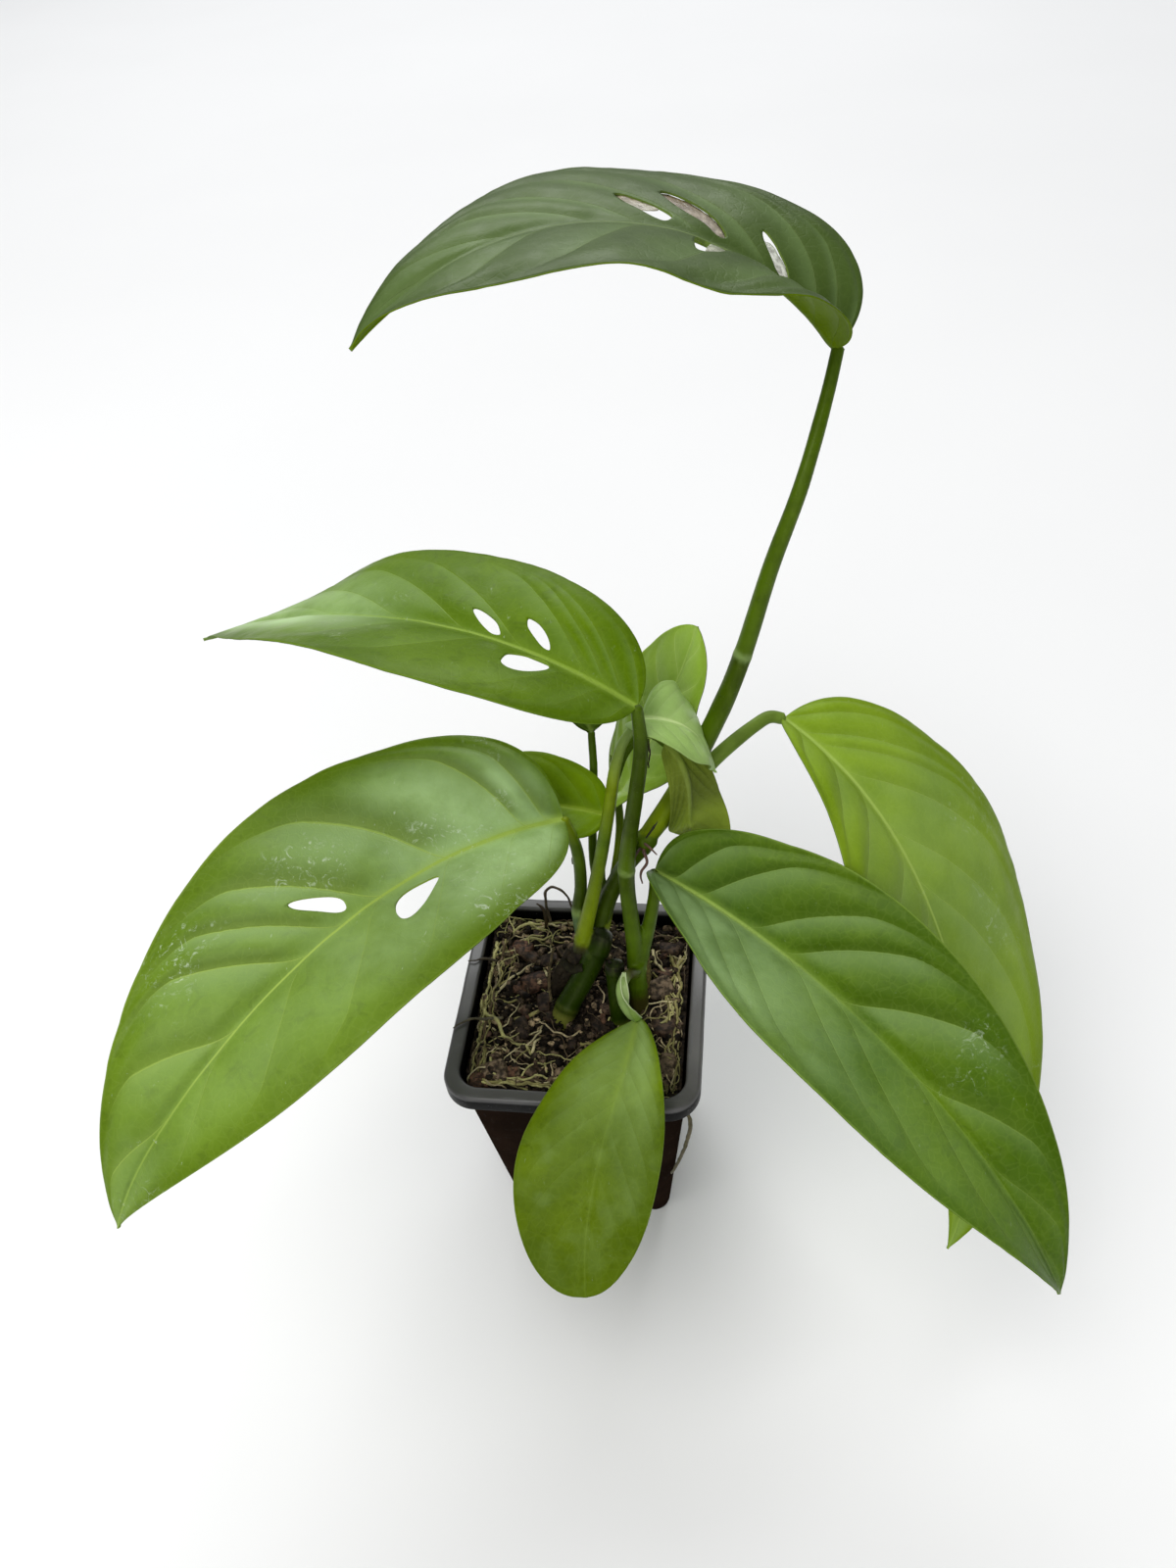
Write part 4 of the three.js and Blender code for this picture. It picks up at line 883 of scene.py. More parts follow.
def pot_material():
    shader = Shader("pot_plastic", 0.45, 0.45)
    cloud = shader.noise(55.0, 5.0, 0.6)
    scratch = shader.noise(900.0, 2.0, 0.5, (0.06, 1.0, 1.0))
    scratch_b = shader.noise(900.0, 2.0, 0.5, (1.0, 0.06, 1.0))
    lines = shader.math("MAXIMUM", shader.ramp(scratch, 0.66, 0.74), shader.ramp(scratch_b, 0.66, 0.74))
    dust = shader.ramp(shader.noise(260.0, 5.0, 0.7), 0.55, 0.8)
    colour = shader.mix(shader.ramp(cloud, 0.4, 0.7, 0.0, 0.5), (0.075, 0.072, 0.072), (0.125, 0.119, 0.117))
    place = shader.tree.nodes.new("ShaderNodeSeparateXYZ")
    shader.tree.links.new(shader.place, place.inputs[0])
    lip = shader.ramp(place.outputs[2], (POT_HEIGHT - LIP_DEPTH - 0.6) * MM, (POT_HEIGHT - LIP_DEPTH) * MM)
    # Painted light and shade on the lip: its top face keeps the grey plastic colour, its outer face below is
    # painted near black
    painted_rim_light = shader.ramp(place.outputs[2], (POT_HEIGHT - 1.5) * MM, (POT_HEIGHT - 0.3) * MM)
    colour = shader.mix(painted_rim_light, (0.002, 0.002, 0.0022), colour)
    # Painted shade: below the lip the body gets a darker, browner copy of the rim's plastic
    body = shader.mix(shader.ramp(cloud, 0.4, 0.7, 0.0, 0.6), (0.011, 0.0068, 0.0048), (0.024, 0.014, 0.0095))
    colour = shader.mix(lip, body, colour)
    shine = shader.math("ADD", shader.times(lip, 0.05), shader.times(painted_rim_light, 0.55))
    shader.set("Specular IOR Level", shine)
    share = shader.ramp(lip, 0.0, 1.0, 0.25, 1.0)
    colour = shader.over(colour, (0.09, 0.092, 0.095), lines, 0.4, share)
    colour = shader.over(colour, (0.10, 0.09, 0.078), dust, 0.3, share)
    shader.set("Base Color", colour)
    shader.set("Roughness", shader.ramp(cloud, 0.3, 0.7, 0.32, 0.48))
    fine = shader.noise(1500.0, 2.0)
    shader.bump(shader.math("ADD", shader.times(fine, 0.4), lines), 0.00008, 0.7)
    return shader.material


# Leaf blades

class Blade:
    def __init__(self, leaf):
        self.leaf = leaf
        steps = 48
        ahead = self.direction((np.arange(steps) + 0.5) / steps) * leaf["length"] / steps
        self.rib = np.concatenate([[np.zeros(3)], np.cumsum(ahead, axis=0)]) + np.array(leaf["base"], float)

    def direction(self, u):
        heading = np.radians(smooth3(self.leaf["heading"], u))
        pitch = np.radians(smooth3(self.leaf["pitch"], u))
        return np.stack([np.cos(pitch) * np.cos(heading), np.cos(pitch) * np.sin(heading), np.sin(pitch)], -1)

    def rib_point(self, u):
        inside = np.clip(u, 0, 1)
        place = inside * (len(self.rib) - 1)
        first = np.minimum(place.astype(int), len(self.rib) - 2)
        part = (place - first)[..., None]
        point = self.rib[first] * (1 - part) + self.rib[first + 1] * part
        return point + (u - inside)[..., None] * self.leaf["length"] * self.direction(inside)

    def outline(self, u):
        leaf = self.leaf
        u = np.clip(u, 0, 1)
        below = np.sin(np.pi / 2 * np.minimum(u / leaf["widest"], 1)) ** leaf["shoulder"]
        rest = np.clip((u - leaf["widest"]) / (1 - leaf["widest"]), 0, 1)
        above = np.clip(np.cos(np.pi / 2 * rest), 0, 1) ** leaf["point"]
        return np.maximum(np.where(u < leaf["widest"], below, above), TIP)

    def point(self, u, k):
        leaf = self.leaf
        u, k = np.broadcast_arrays(np.asarray(u, float), np.asarray(k, float))
        side = np.abs(k)
        back = np.where(u < LOBED, 4 * leaf["lobe"] * (u / LOBED) * (1 - u / LOBED), 0)
        at_rib = u - 4 * SWEEP * u * (1 - u)
        along = at_rib + (u - back - at_rib) * side ** 1.5
        across = np.where(k > 0, leaf["width"][0], leaf["width"][1]) * self.outline(u) * side
        inside = np.clip(along, 0, 1)
        ahead = self.direction(inside)
        heading = np.radians(smooth3(leaf["heading"], inside))
        level = np.stack([-np.sin(heading), np.cos(heading), 0 * heading], -1)
        roll = np.radians(smooth3(leaf["roll"], inside))[..., None]
        level = level * np.cos(roll) + np.cross(ahead, level) * np.sin(roll)
        up = np.cross(ahead, level)
        rise = np.radians(smooth3(leaf["fold"], inside) + leaf["curl"] * side / 2)
        phase = np.radians(np.where(k > 0, leaf["phase"][0], leaf["phase"][1]))
        height = np.where(k > 0, leaf["wave"][0], leaf["wave"][1])
        wave = height * side ** 2 * np.sin(4 * np.pi * along + phase) * np.sin(np.pi * inside)
        return (self.rib_point(along) + level * (np.sign(k) * across * np.cos(rise))[..., None]
                + up * (across * np.sin(rise) + wave)[..., None])

    def normal(self, u, k):
        d = 0.02
        along = self.point(np.minimum(u + d, 1), k) - self.point(np.maximum(u - d, 0), k)
        across = self.point(u, np.minimum(k + d, 1)) - self.point(u, np.maximum(k - d, -1))
        return unit(np.cross(along, across))

    def vein(self, u, k, left):
        """Counts the side veins: whole numbers lie on a vein."""
        leaf = self.leaf
        starts = leaf["veins"][0 if left else 1]
        side = np.abs(k)
        start = (u - leaf["lean"][0 if left else 1] * side - 0.025 * (1 - np.exp(-side / 0.06))
                 - 0.1 * np.clip((side - 0.72) / 0.28, 0, 1) ** 2)
        knots = [starts[0] - 0.3, *starts, starts[-1] + 0.14, starts[-1] + 0.6]
        counts = [-2.5, *range(len(starts)), len(starts), len(starts) + 3]
        return np.interp(start, knots, counts)

    def relief(self, u, k):
        """Height of the quilted blade over its smooth form."""
        leaf = self.leaf
        side = np.abs(k)
        count = np.where(k > 0, self.vein(u, k, True), self.vein(u, k, False))
        part = (count - np.floor(count)) ** 1.35
        pillow = np.sin(np.pi * part) ** 0.8
        reach = step(0.0, 0.22, side) * (1 - 0.75 * step(0.72, 1.0, side))
        reach = reach * step(0.0, 0.08, u) * (1 - 0.8 * step(0.75, 1.0, u))
        return np.where(k > 0, leaf["quilt"][0], leaf["quilt"][1]) * pillow * reach


def cos_spaced(count, share):
    t = np.linspace(0, 1, count)
    return (1 - share) * t + share * (0.5 - 0.5 * np.cos(np.pi * t))


def make_leaf(name, leaf, material, under):
    blade = Blade(leaf)
    large = leaf["length"] > LARGE_LEAF
    rows, half = (190, 44) if large else (110, 28)
    u = cos_spaced(rows + 1, 0.6)
    t = np.linspace(1, -1, 2 * half + 1)
    k = np.sign(t) * np.abs(t) ** 1.25
    uu, kk = np.meshgrid(u, k, indexing="ij")
    smooth = blade.point(uu, kk)
    up = blade.normal(np.clip(uu, 0.03, 0.97), kk)
    across = np.where(kk > 0, leaf["width"][0], leaf["width"][1]) * blade.outline(uu) * np.abs(kk)
    rib_wide = (1.25 if large else 0.8) * (1 - 0.75 * uu)
    ridge = np.exp(-(across / rib_wide) ** 2)
    valley = np.exp(-(across / (3.2 * rib_wide)) ** 2)
    relief = blade.relief(uu, kk)
    flat = smooth.reshape(-1, 3)
    relief += (0.22 if large else 0.1) * wobble(flat, 0.09, 3).reshape(uu.shape)
    relief += 0.07 * wobble(flat, 0.35, 5).reshape(uu.shape)
    fade = step(0, 0.04, uu) * (1 - step(0.96, 1, uu))
    top = smooth + up * (relief * fade + 0.18 * ridge - 0.28 * valley * fade)[..., None]
    thick = BLADE * (1 - 0.45 * np.abs(kk) ** 6) + (0.85 if large else 0.5) * (1 - 0.75 * uu) * ridge
    low = smooth + up * (relief * fade - 0.28 * valley * fade - thick)[..., None]
    wide = 2 * half + 1
    shift = (rows + 1) * wide
    verts = np.concatenate([top.reshape(-1, 3), low.reshape(-1, 3)])
    left_vein = blade.vein(uu, kk, True)
    right_vein = blade.vein(uu, kk, False)
    span_v = across * np.sign(kk) / SPAN_UNIT
    faces, slots, vein_map, span_map = [], [], [], []

    def add(corners, slot, left):
        faces.append(tuple(i * wide + j + (shift if low_side else 0) for i, j, low_side in corners))
        slots.append(slot)
        table = left_vein if left else right_vein
        for i, j, _ in corners:
            vein_map.append((table[i, j], abs(kk[i, j])))
            span_map.append((uu[i, j], span_v[i, j]))

    for i in range(rows):
        for j in range(wide - 1):
            left = j < half
            add([(i, j, 0), (i, j + 1, 0), (i + 1, j + 1, 0), (i + 1, j, 0)], 0, left)
            add([(i, j, 1), (i + 1, j, 1), (i + 1, j + 1, 1), (i, j + 1, 1)], 1, left)
        add([(i, 0, 0), (i + 1, 0, 0), (i + 1, 0, 1), (i, 0, 1)], 1, True)
        add([(i, wide - 1, 0), (i, wide - 1, 1), (i + 1, wide - 1, 1), (i + 1, wide - 1, 0)], 1, False)
    for j in range(wide - 1):
        add([(0, j, 0), (0, j, 1), (0, j + 1, 1), (0, j + 1, 0)], 1, j < half)
        add([(rows, j, 0), (rows, j + 1, 0), (rows, j + 1, 1), (rows, j, 1)], 1, j < half)
    thing = add_object(name + "_blade", verts, faces, [material, under])
    mesh = thing.data
    mesh.polygons.foreach_set("material_index", np.array(slots, np.int32))
    for map_name, values in (("vein", vein_map), ("span", span_map)):
        layer = mesh.uv_layers.new(name=map_name)
        layer.uv.foreach_set("vector", np.array(values, np.float32).ravel())
    if leaf["holes"]:
        cut_holes(thing, blade)
    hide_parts(name)


def closed_curve(points, count):
    """Smooth closed curve through (u, k) points."""
    p = np.array(points, float)
    out = []
    n = len(p)
    for w in np.linspace(0, n, count, endpoint=False):
        i = int(w)
        t = w - i
        a, b, c, d = (p[(i + s) % n] for s in (-1, 0, 1, 2))
        out.append(0.5 * (2 * b + (c - a) * t + (2 * a - 5 * b + 4 * c - d) * t * t
                          + (3 * b - a - 3 * c + d) * t ** 3))
    return np.array(out)


def cut_holes(thing, blade):
    """Cuts the holes of a leaf; their walls take the material of its underside."""
    parts = []
    for hole in blade.leaf["holes"]:
        curve = closed_curve(hole, 40)
        place = blade.point(curve[:, 0], curve[:, 1])
        up = blade.normal(curve[:, 0], curve[:, 1])
        rings = np.concatenate([place + up * 3, place - up * 4])
        n = len(curve)
        faces = [(i, (i + 1) % n, n + (i + 1) % n, n + i) for i in range(n)]
        faces += [tuple(range(n))[::-1], tuple(range(n, 2 * n))]
        parts.append((rings, faces))
    verts, faces = merge(parts)
    mesh = bpy.data.meshes.new("cutter")
    mesh.from_pydata((verts * MM).tolist(), [], faces)
    face_outwards(mesh)
    for material in thing.data.materials:
        mesh.materials.append(material)
    mesh.polygons.foreach_set("material_index", np.ones(len(mesh.polygons), np.int32))
    cutter = linked("cutter", mesh)
    cut = thing.modifiers.new("holes", "BOOLEAN")
    cut.operation = "DIFFERENCE"
    cut.solver = "EXACT"
    cut.object = cutter
    bake_modifiers(thing)
    bpy.data.objects.remove(cutter)
    bpy.data.meshes.remove(mesh)


# Stems

def make_stems(name, node, parts, voxel, material):
    tubes, samples = [], []
    for part in parts:
        line = spline(part["route"], 0.8)
        share = np.linspace(0, 1, len(line))
        length = 0.8 * len(line)
        for at, height in part.get("rings", ()):
            line[:, 3] += height * np.exp(-((share - at) * length / 0.7) ** 2)
        line[:, 3] *= 1 + 0.03 * wobble(line[:, :3], 0.12, 9)
        tubes.append(tube(line, 20))
        stops, colours = zip(*part["paint"])
        colour = np.stack([np.interp(share, stops, [c[i] for c in colours]) for i in range(3)], 1)
        samples.append(np.concatenate([line, colour], axis=1))
    verts, faces = merge(tubes)
    thing = add_object(name, verts, faces, [material])
    remesh = thing.modifiers.new("fuse", "REMESH")
    remesh.mode = "VOXEL"
    remesh.voxel_size = voxel * MM * 1.0
    soften = thing.modifiers.new("soften", "SMOOTH")
    soften.factor = 0.5
    soften.iterations = 3
    bake_modifiers(thing)
    mesh = thing.data
    mesh.shade_smooth()
    co = np.zeros(len(mesh.vertices) * 3, np.float32)
    mesh.vertices.foreach_get("co", co)
    co = co.reshape(-1, 3) / MM
    table = np.concatenate(samples)
    tree = kdtree.KDTree(len(table))
    for i, row in enumerate(table):
        tree.insert(row[:3], i)
    tree.balance()
    paint = np.zeros((len(co), 3))
    for i, p in enumerate(co):
        found = tree.find_n(p, 6)
        best = min(found, key=lambda hit: abs(hit[2] - table[hit[1], 3]))
        paint[i] = table[best[1], 4:7]
    edges = np.zeros(len(mesh.edges) * 2, np.int32)
    mesh.edges.foreach_get("vertices", edges)
    edges = edges.reshape(-1, 2)
    for _ in range(2):
        total = paint.copy()
        count = np.ones(len(co))
        np.add.at(total, edges[:, 0], paint[edges[:, 1]])
        np.add.at(total, edges[:, 1], paint[edges[:, 0]])
        np.add.at(count, edges[:, 0], 1)
        np.add.at(count, edges[:, 1], 1)
        paint = total / count[:, None]
    set_paint(mesh, paint)
    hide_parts(node)


# Pot

def square_ring(half, corner, z, steps=14):
    ring = []
    for quarter in range(4):
        cx = (half - corner) * (1 if quarter in (0, 3) else -1)
        cy = (half - corner) * (1 if quarter < 2 else -1)
        for i in range(steps + 1):
            turn = (quarter + i / steps) * math.pi / 2
            ring.append((cx + corner * math.cos(turn), cy + corner * math.sin(turn), z))
        ahead = (quarter + 1) % 4
        nx = (half - corner) * (1 if ahead in (0, 3) else -1)
        ny = (half - corner) * (1 if ahead < 2 else -1)
        end = ring[-1]
        turn = (quarter + 1) * math.pi / 2
        far = (nx + corner * math.cos(turn), ny + corner * math.sin(turn), z)
        for i in range(1, 12):
            w = i / 12
            ring.append(tuple(end[a] + (far[a] - end[a]) * w for a in range(3)))
    return ring


def body_half(z):
    return POT_FOOT_HALF + BODY_SLOPE * z


def body_corner(z):
    return CORNER_FOOT + (CORNER_TOP - LIP_OVERHANG / 2 - CORNER_FOOT) * z / POT_HEIGHT


def make_pot(material):
    """The pot with a closed floor: the drain holes of the CAD source aren't cut here."""
    lip_foot = POT_HEIGHT - LIP_DEPTH
    inner = POT_HALF - LIP_TOP

    def rounded(cx, cz, radius, start, end, corner):
        """Points of an arc in the profile, with the corner radius that goes with each."""
        out = []
        for i in range(6):
            turn = math.radians(start + (end - start) * i / 5)
            x = cx + radius * math.cos(turn)
            out.append((x, corner + (x - cx), cz + radius * math.sin(turn)))
        return out

    profile = [(body_half(0) - 0.8, CORNER_FOOT - 0.8, 0.0)]
    profile += rounded(body_half(0.8) - 0.8, 0.8, 0.8, -90, 0, CORNER_FOOT - 0.8)[1:]
    profile += [(body_half(z), body_corner(z), z) for z in np.linspace(3, lip_foot, 12)]
    profile += rounded(POT_HALF - 0.5, lip_foot + 0.5, 0.5, -90, 0, CORNER_TOP - 0.5)
    profile += rounded(POT_HALF - 1.1, POT_HEIGHT - 1.1, 1.1, 0, 90, CORNER_TOP - 1.1)
    inner_corner = body_corner(POT_HEIGHT) - POT_WALL
    profile += rounded(inner + 0.8, POT_HEIGHT - 0.8, 0.8, 90, 180, inner_corner + 0.8)
    inner_heights = (lip_foot - 0.6, 60.0, 40.0, 20.0)
    profile += [(body_half(z) - POT_WALL, body_corner(z) - POT_WALL, z) for z in inner_heights]
    profile += [(body_half(POT_FLOOR) - POT_WALL, CORNER_FOOT - POT_WALL, POT_FLOOR)]
    rings = np.array([square_ring(*row) for row in profile])
    count = rings.shape[1]
    verts = rings.reshape(-1, 3)
    dents = wobble(verts, 0.16, 21) * 0.14 + wobble(verts, 0.7, 22) * 0.04
    dents = (dents * step(lip_foot - 1, lip_foot + 1, verts[:, 2]))[:, None]
    verts = verts + np.sign(verts) * (0.6, 0.6, 1.0) * dents
    faces = []
    for r in range(len(rings) - 1):
        for i in range(count):
            j = (i + 1) % count
            faces.append((r * count + i, r * count + j, (r + 1) * count + j, (r + 1) * count + i))
    faces.append(tuple(range(count))[::-1])
    faces.append(tuple(range((len(rings) - 1) * count, len(rings) * count)))
    thing = add_object("pot_shell", verts, faces, [material])
    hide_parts("pot")


# Potting mix

def soil_height(x, y):
    share = np.minimum(1, np.maximum(np.abs(x), np.abs(y)) / POT_HALF)
    lumps = np.sin(x * 0.71 + 1.3) * np.cos(y * 0.63) + 0.6 * np.sin(x * 1.1 - y * 0.9 + 2)
    return SOIL_EDGE + SOIL_MOUND * (1 - share ** 2) + BUMP * lumps * (1 - share ** 4)


def crumble(x, y):
    """Small lumps and pits of the mix."""
    out = np.zeros(len(x))
    for i, (a, b) in enumerate(zip(x, y)):
        out[i] = (0.9 * noise.noise(Vector((a * 0.35, b * 0.35, 4.0)))
                  + 0.55 * noise.noise(Vector((a * 0.9, b * 0.9, 9.0)))
                  + 0.30 * noise.noise(Vector((a * 2.1, b * 2.1, 2.0))))
    return out


def ground(x, y):
    x, y = np.atleast_1d(np.asarray(x, float)), np.atleast_1d(np.asarray(y, float))
    return soil_height(x, y) + crumble(x, y)


def make_ground(material):
    count = 170
    half = body_half(SOIL_EDGE) - POT_WALL - 2 * GAP
    radius = body_corner(SOIL_EDGE) - POT_WALL - GAP
    a = np.linspace(-1, 1, count)
    x, y = np.meshgrid(a * half, a * half, indexing="ij")
    core = half - radius
    qx, qy = np.abs(x) - core, np.abs(y) - core
    corner = (qx > 0) & (qy > 0)
    reach = np.maximum(qx, qy)
    length = np.hypot(qx, qy)
    pull = np.where(corner, reach / np.maximum(length, 1e-6), 1.0)
    x = np.where(corner, np.sign(x) * (core + qx * pull), x)
    y = np.where(corner, np.sign(y) * (core + qy * pull), y)
    z = ground(x.ravel(), y.ravel()).reshape(x.shape)
    verts = np.stack([x, y, z], -1).reshape(-1, 3)
    faces = []
    for i in range(count - 1):
        for j in range(count - 1):
            a0 = i * count + j
            faces.append((a0, a0 + count, a0 + count + 1, a0 + 1))
    border = ([i * count for i in range(count)] + [(count - 1) * count + j for j in range(1, count)]
              + [i * count + count - 1 for i in range(count - 2, -1, -1)] + list(range(count - 2, 0, -1)))
    floor = POT_FLOOR + GAP
    shrink = (body_half(floor) - POT_WALL - GAP) / half
    base = verts[border] * (shrink, shrink, 0) + (0, 0, floor)
    start = len(verts)
    verts = np.concatenate([verts, base])
    n = len(border)
    for i in range(n):
        j = (i + 1) % n
        faces.append((border[j], border[i], start + i, start + j))
    faces.append(tuple(range(start + n - 1, start - 1, -1)))
    shade = 0.5 + 0.5 * wobble(verts, 0.5, 31)[:, None]
    brown = np.array((0.009, 0.0065, 0.0045)) * (1 - shade) + np.array((0.055, 0.038, 0.025)) * shade
    thing = add_object("mix_ground", verts, faces, [material], brown)
    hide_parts("soil")


def ball(level):
    work = bmesh.new()
    bmesh.ops.create_icosphere(work, subdivisions=level, radius=1.0)
    verts = np.array([v.co[:] for v in work.verts])
    faces = [tuple(v.index for v in f.verts) for f in work.faces]
    work.free()
    return verts, faces


def turned(verts, rng):
    angles = Matrix.Rotation(rng.uniform(0, 6.28), 3, "X") @ Matrix.Rotation(rng.uniform(0, 6.28), 3, "Y")
    return verts @ np.array(angles)


def inside_mix(rng, limit):
    return rng.uniform(-limit, limit), rng.uniform(-limit, limit)


def make_crumbs(material):
    rng = random.Random(5)
    base, faces = ball(2)
    parts, colours = [], []
    for i in range(CRUMB_COUNT):
        x, y = inside_mix(rng, CRUMB_LIMIT)
        size = rng.choice((0.3, 0.4, 0.55, 0.75, 1.0, 1.4))
        lump = base * (1 + 0.35 * wobble(base, 1.3, i)[:, None])
        lump = turned(lump * (1, rng.uniform(0.5, 1), rng.uniform(0.4, 0.9)), rng) * size
        z = ground(x, y)[0] + size * rng.uniform(0.0, 0.5)
        parts.append((lump + (x, y, z), faces))
        tone = rng.uniform(0.5, 2.2)
        warm = np.array(rng.choice(CRUMB_TONES))
        colours.append(np.tile(warm * tone, (len(base), 1)))
    thing = add_parts("mix_crumbs", parts, colours, material)


def make_bark(material):
    rng = random.Random(11)
    base, faces = ball(3)
    parts, colours = [], []
    chips = [(*chip, 1.0) for chip in BARK] + [(*chip, 0.0) for chip in CHIPS]
    for _ in range(SMALL_CHIP_COUNT):
        x, y = inside_mix(rng, CHIP_LIMIT)
        size = rng.uniform(2.0, 4.6)
        angle = rng.uniform(0, 180)
        width = size * rng.uniform(0.45, 0.8)
        chips.append((x, y, angle, size, width, rng.uniform(0.9, 1.8), 0.0))
    for i, (x, y, angle, length, width, height, big) in enumerate(chips):
        box = np.sign(base) * np.abs(base) ** 0.55
        box = box / np.abs(box).max(axis=0)
        rough = wobble(base, 1.6, 50 + i)[:, None] * (0.20, 0.20, 0.28)
        layers = 0.06 * np.sin(base[:, 1] * 19 + i)[:, None] * (0, 0, 1)
        chip = (box + rough * box + layers) * (length / 2, width / 2, height / 2)
        tip = Matrix.Rotation(math.radians(rng.uniform(-16, 16)), 3, "X")
        tip = Matrix.Rotation(math.radians(rng.uniform(-16, 16)), 3, "Y") @ tip
        spin = Matrix.Rotation(math.radians(angle), 3, "Z") @ tip
        chip = chip @ np.array(spin).T
        z = soil_height(x, y) + (0.1 * height if big else 0.35 + 0.2 * height)
        parts.append((chip + (x, y, z), faces))
        shade = 0.7 + 0.9 * rng.random() + 0.5 * wobble(base, 2.5, 80 + i)[:, None]
        colours.append(np.array(BARK_TONES[i % 4]) * shade)
    thing = add_parts("mix_bark", parts, colours, material)


def root_line(points, radius, rng, lift, wander=0.5):
    """Smooth line that lies on the mix, thinner towards its end."""
    flat = [(x, y, 0, radius) for x, y in points]
    line = spline(flat, 0.9)
    t = np.linspace(0, 1, len(line))
    seed = rng.randint(0, 999)
    line[:, 0] += wander * wobble(line[:, :3], 0.45, seed)
    line[:, 1] += wander * wobble(line[:, :3], 0.45, seed + 1)
    line[:, :2] = np.clip(line[:, :2], -ROOT_LIMIT, ROOT_LIMIT)
    rise = soil_height(line[:, 0], line[:, 1]) + 0.35 * crumble(line[:, 0], line[:, 1])
    line[:, 3] = radius * (1 - 0.45 * t) * (1 + 0.12 * wobble(line[:, :3], 0.9, seed + 2))
    line[:, 2] = rise + line[:, 3] * 0.7 + lift * np.sin(np.pi * t)
    return line


def make_roots(material):
    rng = random.Random(3)
    parts, colours = [], []

    def add(line, tone, sides=7):
        verts, faces = tube(line, sides)
        parts.append((verts, faces))
        t = np.append(np.repeat(np.linspace(0, 1, len(line)), sides), [0, 1])[:, None]
        mottle = 1 + 0.5 * wobble(verts, 0.35, 600 + len(parts))[:, None]
        colours.append(np.array(tone) * (1 - 0.45 * t) * mottle)

    for start, end, count in WALL_BUNDLES:
        for i in range(count):
            inwards = i * 0.55 + rng.uniform(0, 0.5)
            points = []
            for w in np.linspace(0, 1, 9):
                x = start[0] + (end[0] - start[0]) * w
                y = start[1] + (end[1] - start[1]) * w
                off = inwards + rng.uniform(-0.7, 0.8)
                if start[0] == end[0]:
                    points.append((x - math.copysign(off, x), y))
                else:
                    points.append((x, y - math.copysign(off, y)))
            line = root_line(points, rng.uniform(0.22, 0.52), rng, rng.uniform(0, 1.0), 1.1)
            line[:, 2] += rng.uniform(0, 1.1)
            add(line, ROOT_TONES[(0, 2, 1, 3, 0, 2)[i % 6]])
    for i, points in enumerate(LOOSE_ROOTS):
        thick = 0.68 if i in (0, 2) else 0.5
        add(root_line(points, thick, rng, rng.uniform(0.3, 1.4)), ROOT_TONES[i % 3])
    for _ in range(FINE_ROOT_COUNT):
        x, y = inside_mix(rng, FINE_ROOT_LIMIT)
        if rng.random() < 0.6:
            if rng.random() < 0.5:
                x = math.copysign(rng.uniform(19, 28.2), x)
            else:
                y = math.copysign(rng.uniform(19, 28.2), y)
        turn = rng.uniform(0, 2 * math.pi)
        points = [(x, y)]
        for _ in range(rng.randint(3, 8)):
            turn += rng.uniform(-0.7, 0.7)
            x += 2.2 * math.cos(turn)
            y += 2.2 * math.sin(turn)
            place = (max(-28.8, min(28.8, x)), max(-28.8, min(28.8, y)))
            if math.dist(place, points[-1]) > 0.8:
                points.append(place)
        if len(points) < 3:
            continue
        line = root_line(points, rng.uniform(0.12, 0.36), rng, rng.uniform(0, 2.0), 0.8)
        add(line, rng.choice(ROOT_TONES), 5)
    thing = add_parts("mix_roots", parts, colours, material)


# Small things at the crown

def make_scraps(material):
    parts, colours = [], []
    for i, piece in enumerate(SHEATHS):
        line = spline(piece["route"], 0.5)
        line[:, :3] += 0.25 * wobble3(line[:, :3], 0.5, 200 + 3 * i)
        line[:, 3] *= 1 + 0.25 * wobble(line[:, :3], 0.8, 240 + i)
        verts, faces = ribbon(line, 0.22, piece["cup"], 10, piece["rolls"])
        verts = verts + 0.12 * wobble3(verts, 0.9, 280)
        parts.append((verts, faces))
        colours.append(np.array(piece["colour"]) * (1 + 0.45 * wobble(verts, 0.8, 300 + i)[:, None]))
    line = spline(OLD_NODE, 0.5)
    line[:, 3] *= 1 + 0.12 * wobble(line[:, :3], 0.5, 262)
    verts, faces = tube(line, 28)
    verts = verts + 0.3 * wobble3(verts * (1.0, 1.0, 0.4), 0.9, 264)
    parts.append((verts, faces))
    fibre = wobble(verts * (1.0, 1.0, 0.2), 1.5, 268)[:, None]
    colours.append(np.array(OLD_BROWN) * (1 + 1.6 * np.clip(fibre, -0.5, 1)))
    rng = random.Random(17)
    base, faces = ball(1)
    for centre, count, spread in SCRAP_HEAPS:
        for i in range(count):
            size = rng.uniform(0.3, 0.75)
            offset = np.array([rng.gauss(0, 0.45), rng.gauss(0, 0.45), rng.gauss(0, 0.3)]) * spread
            lump = turned(base * (1, rng.uniform(0.5, 1), rng.uniform(0.4, 0.8)), rng) * size
            lump = lump * (1 + 0.3 * wobble(base, 1.2, i)[:, None])
            parts.append((lump + np.array(centre) + offset, faces))
            tone = rng.choice((0.4, 0.8, 1.6))
            colours.append(np.tile(np.array(SCRAP_TONE) * tone, (len(base), 1)))
    thing = add_parts("dry_sheaths", parts, colours, material)


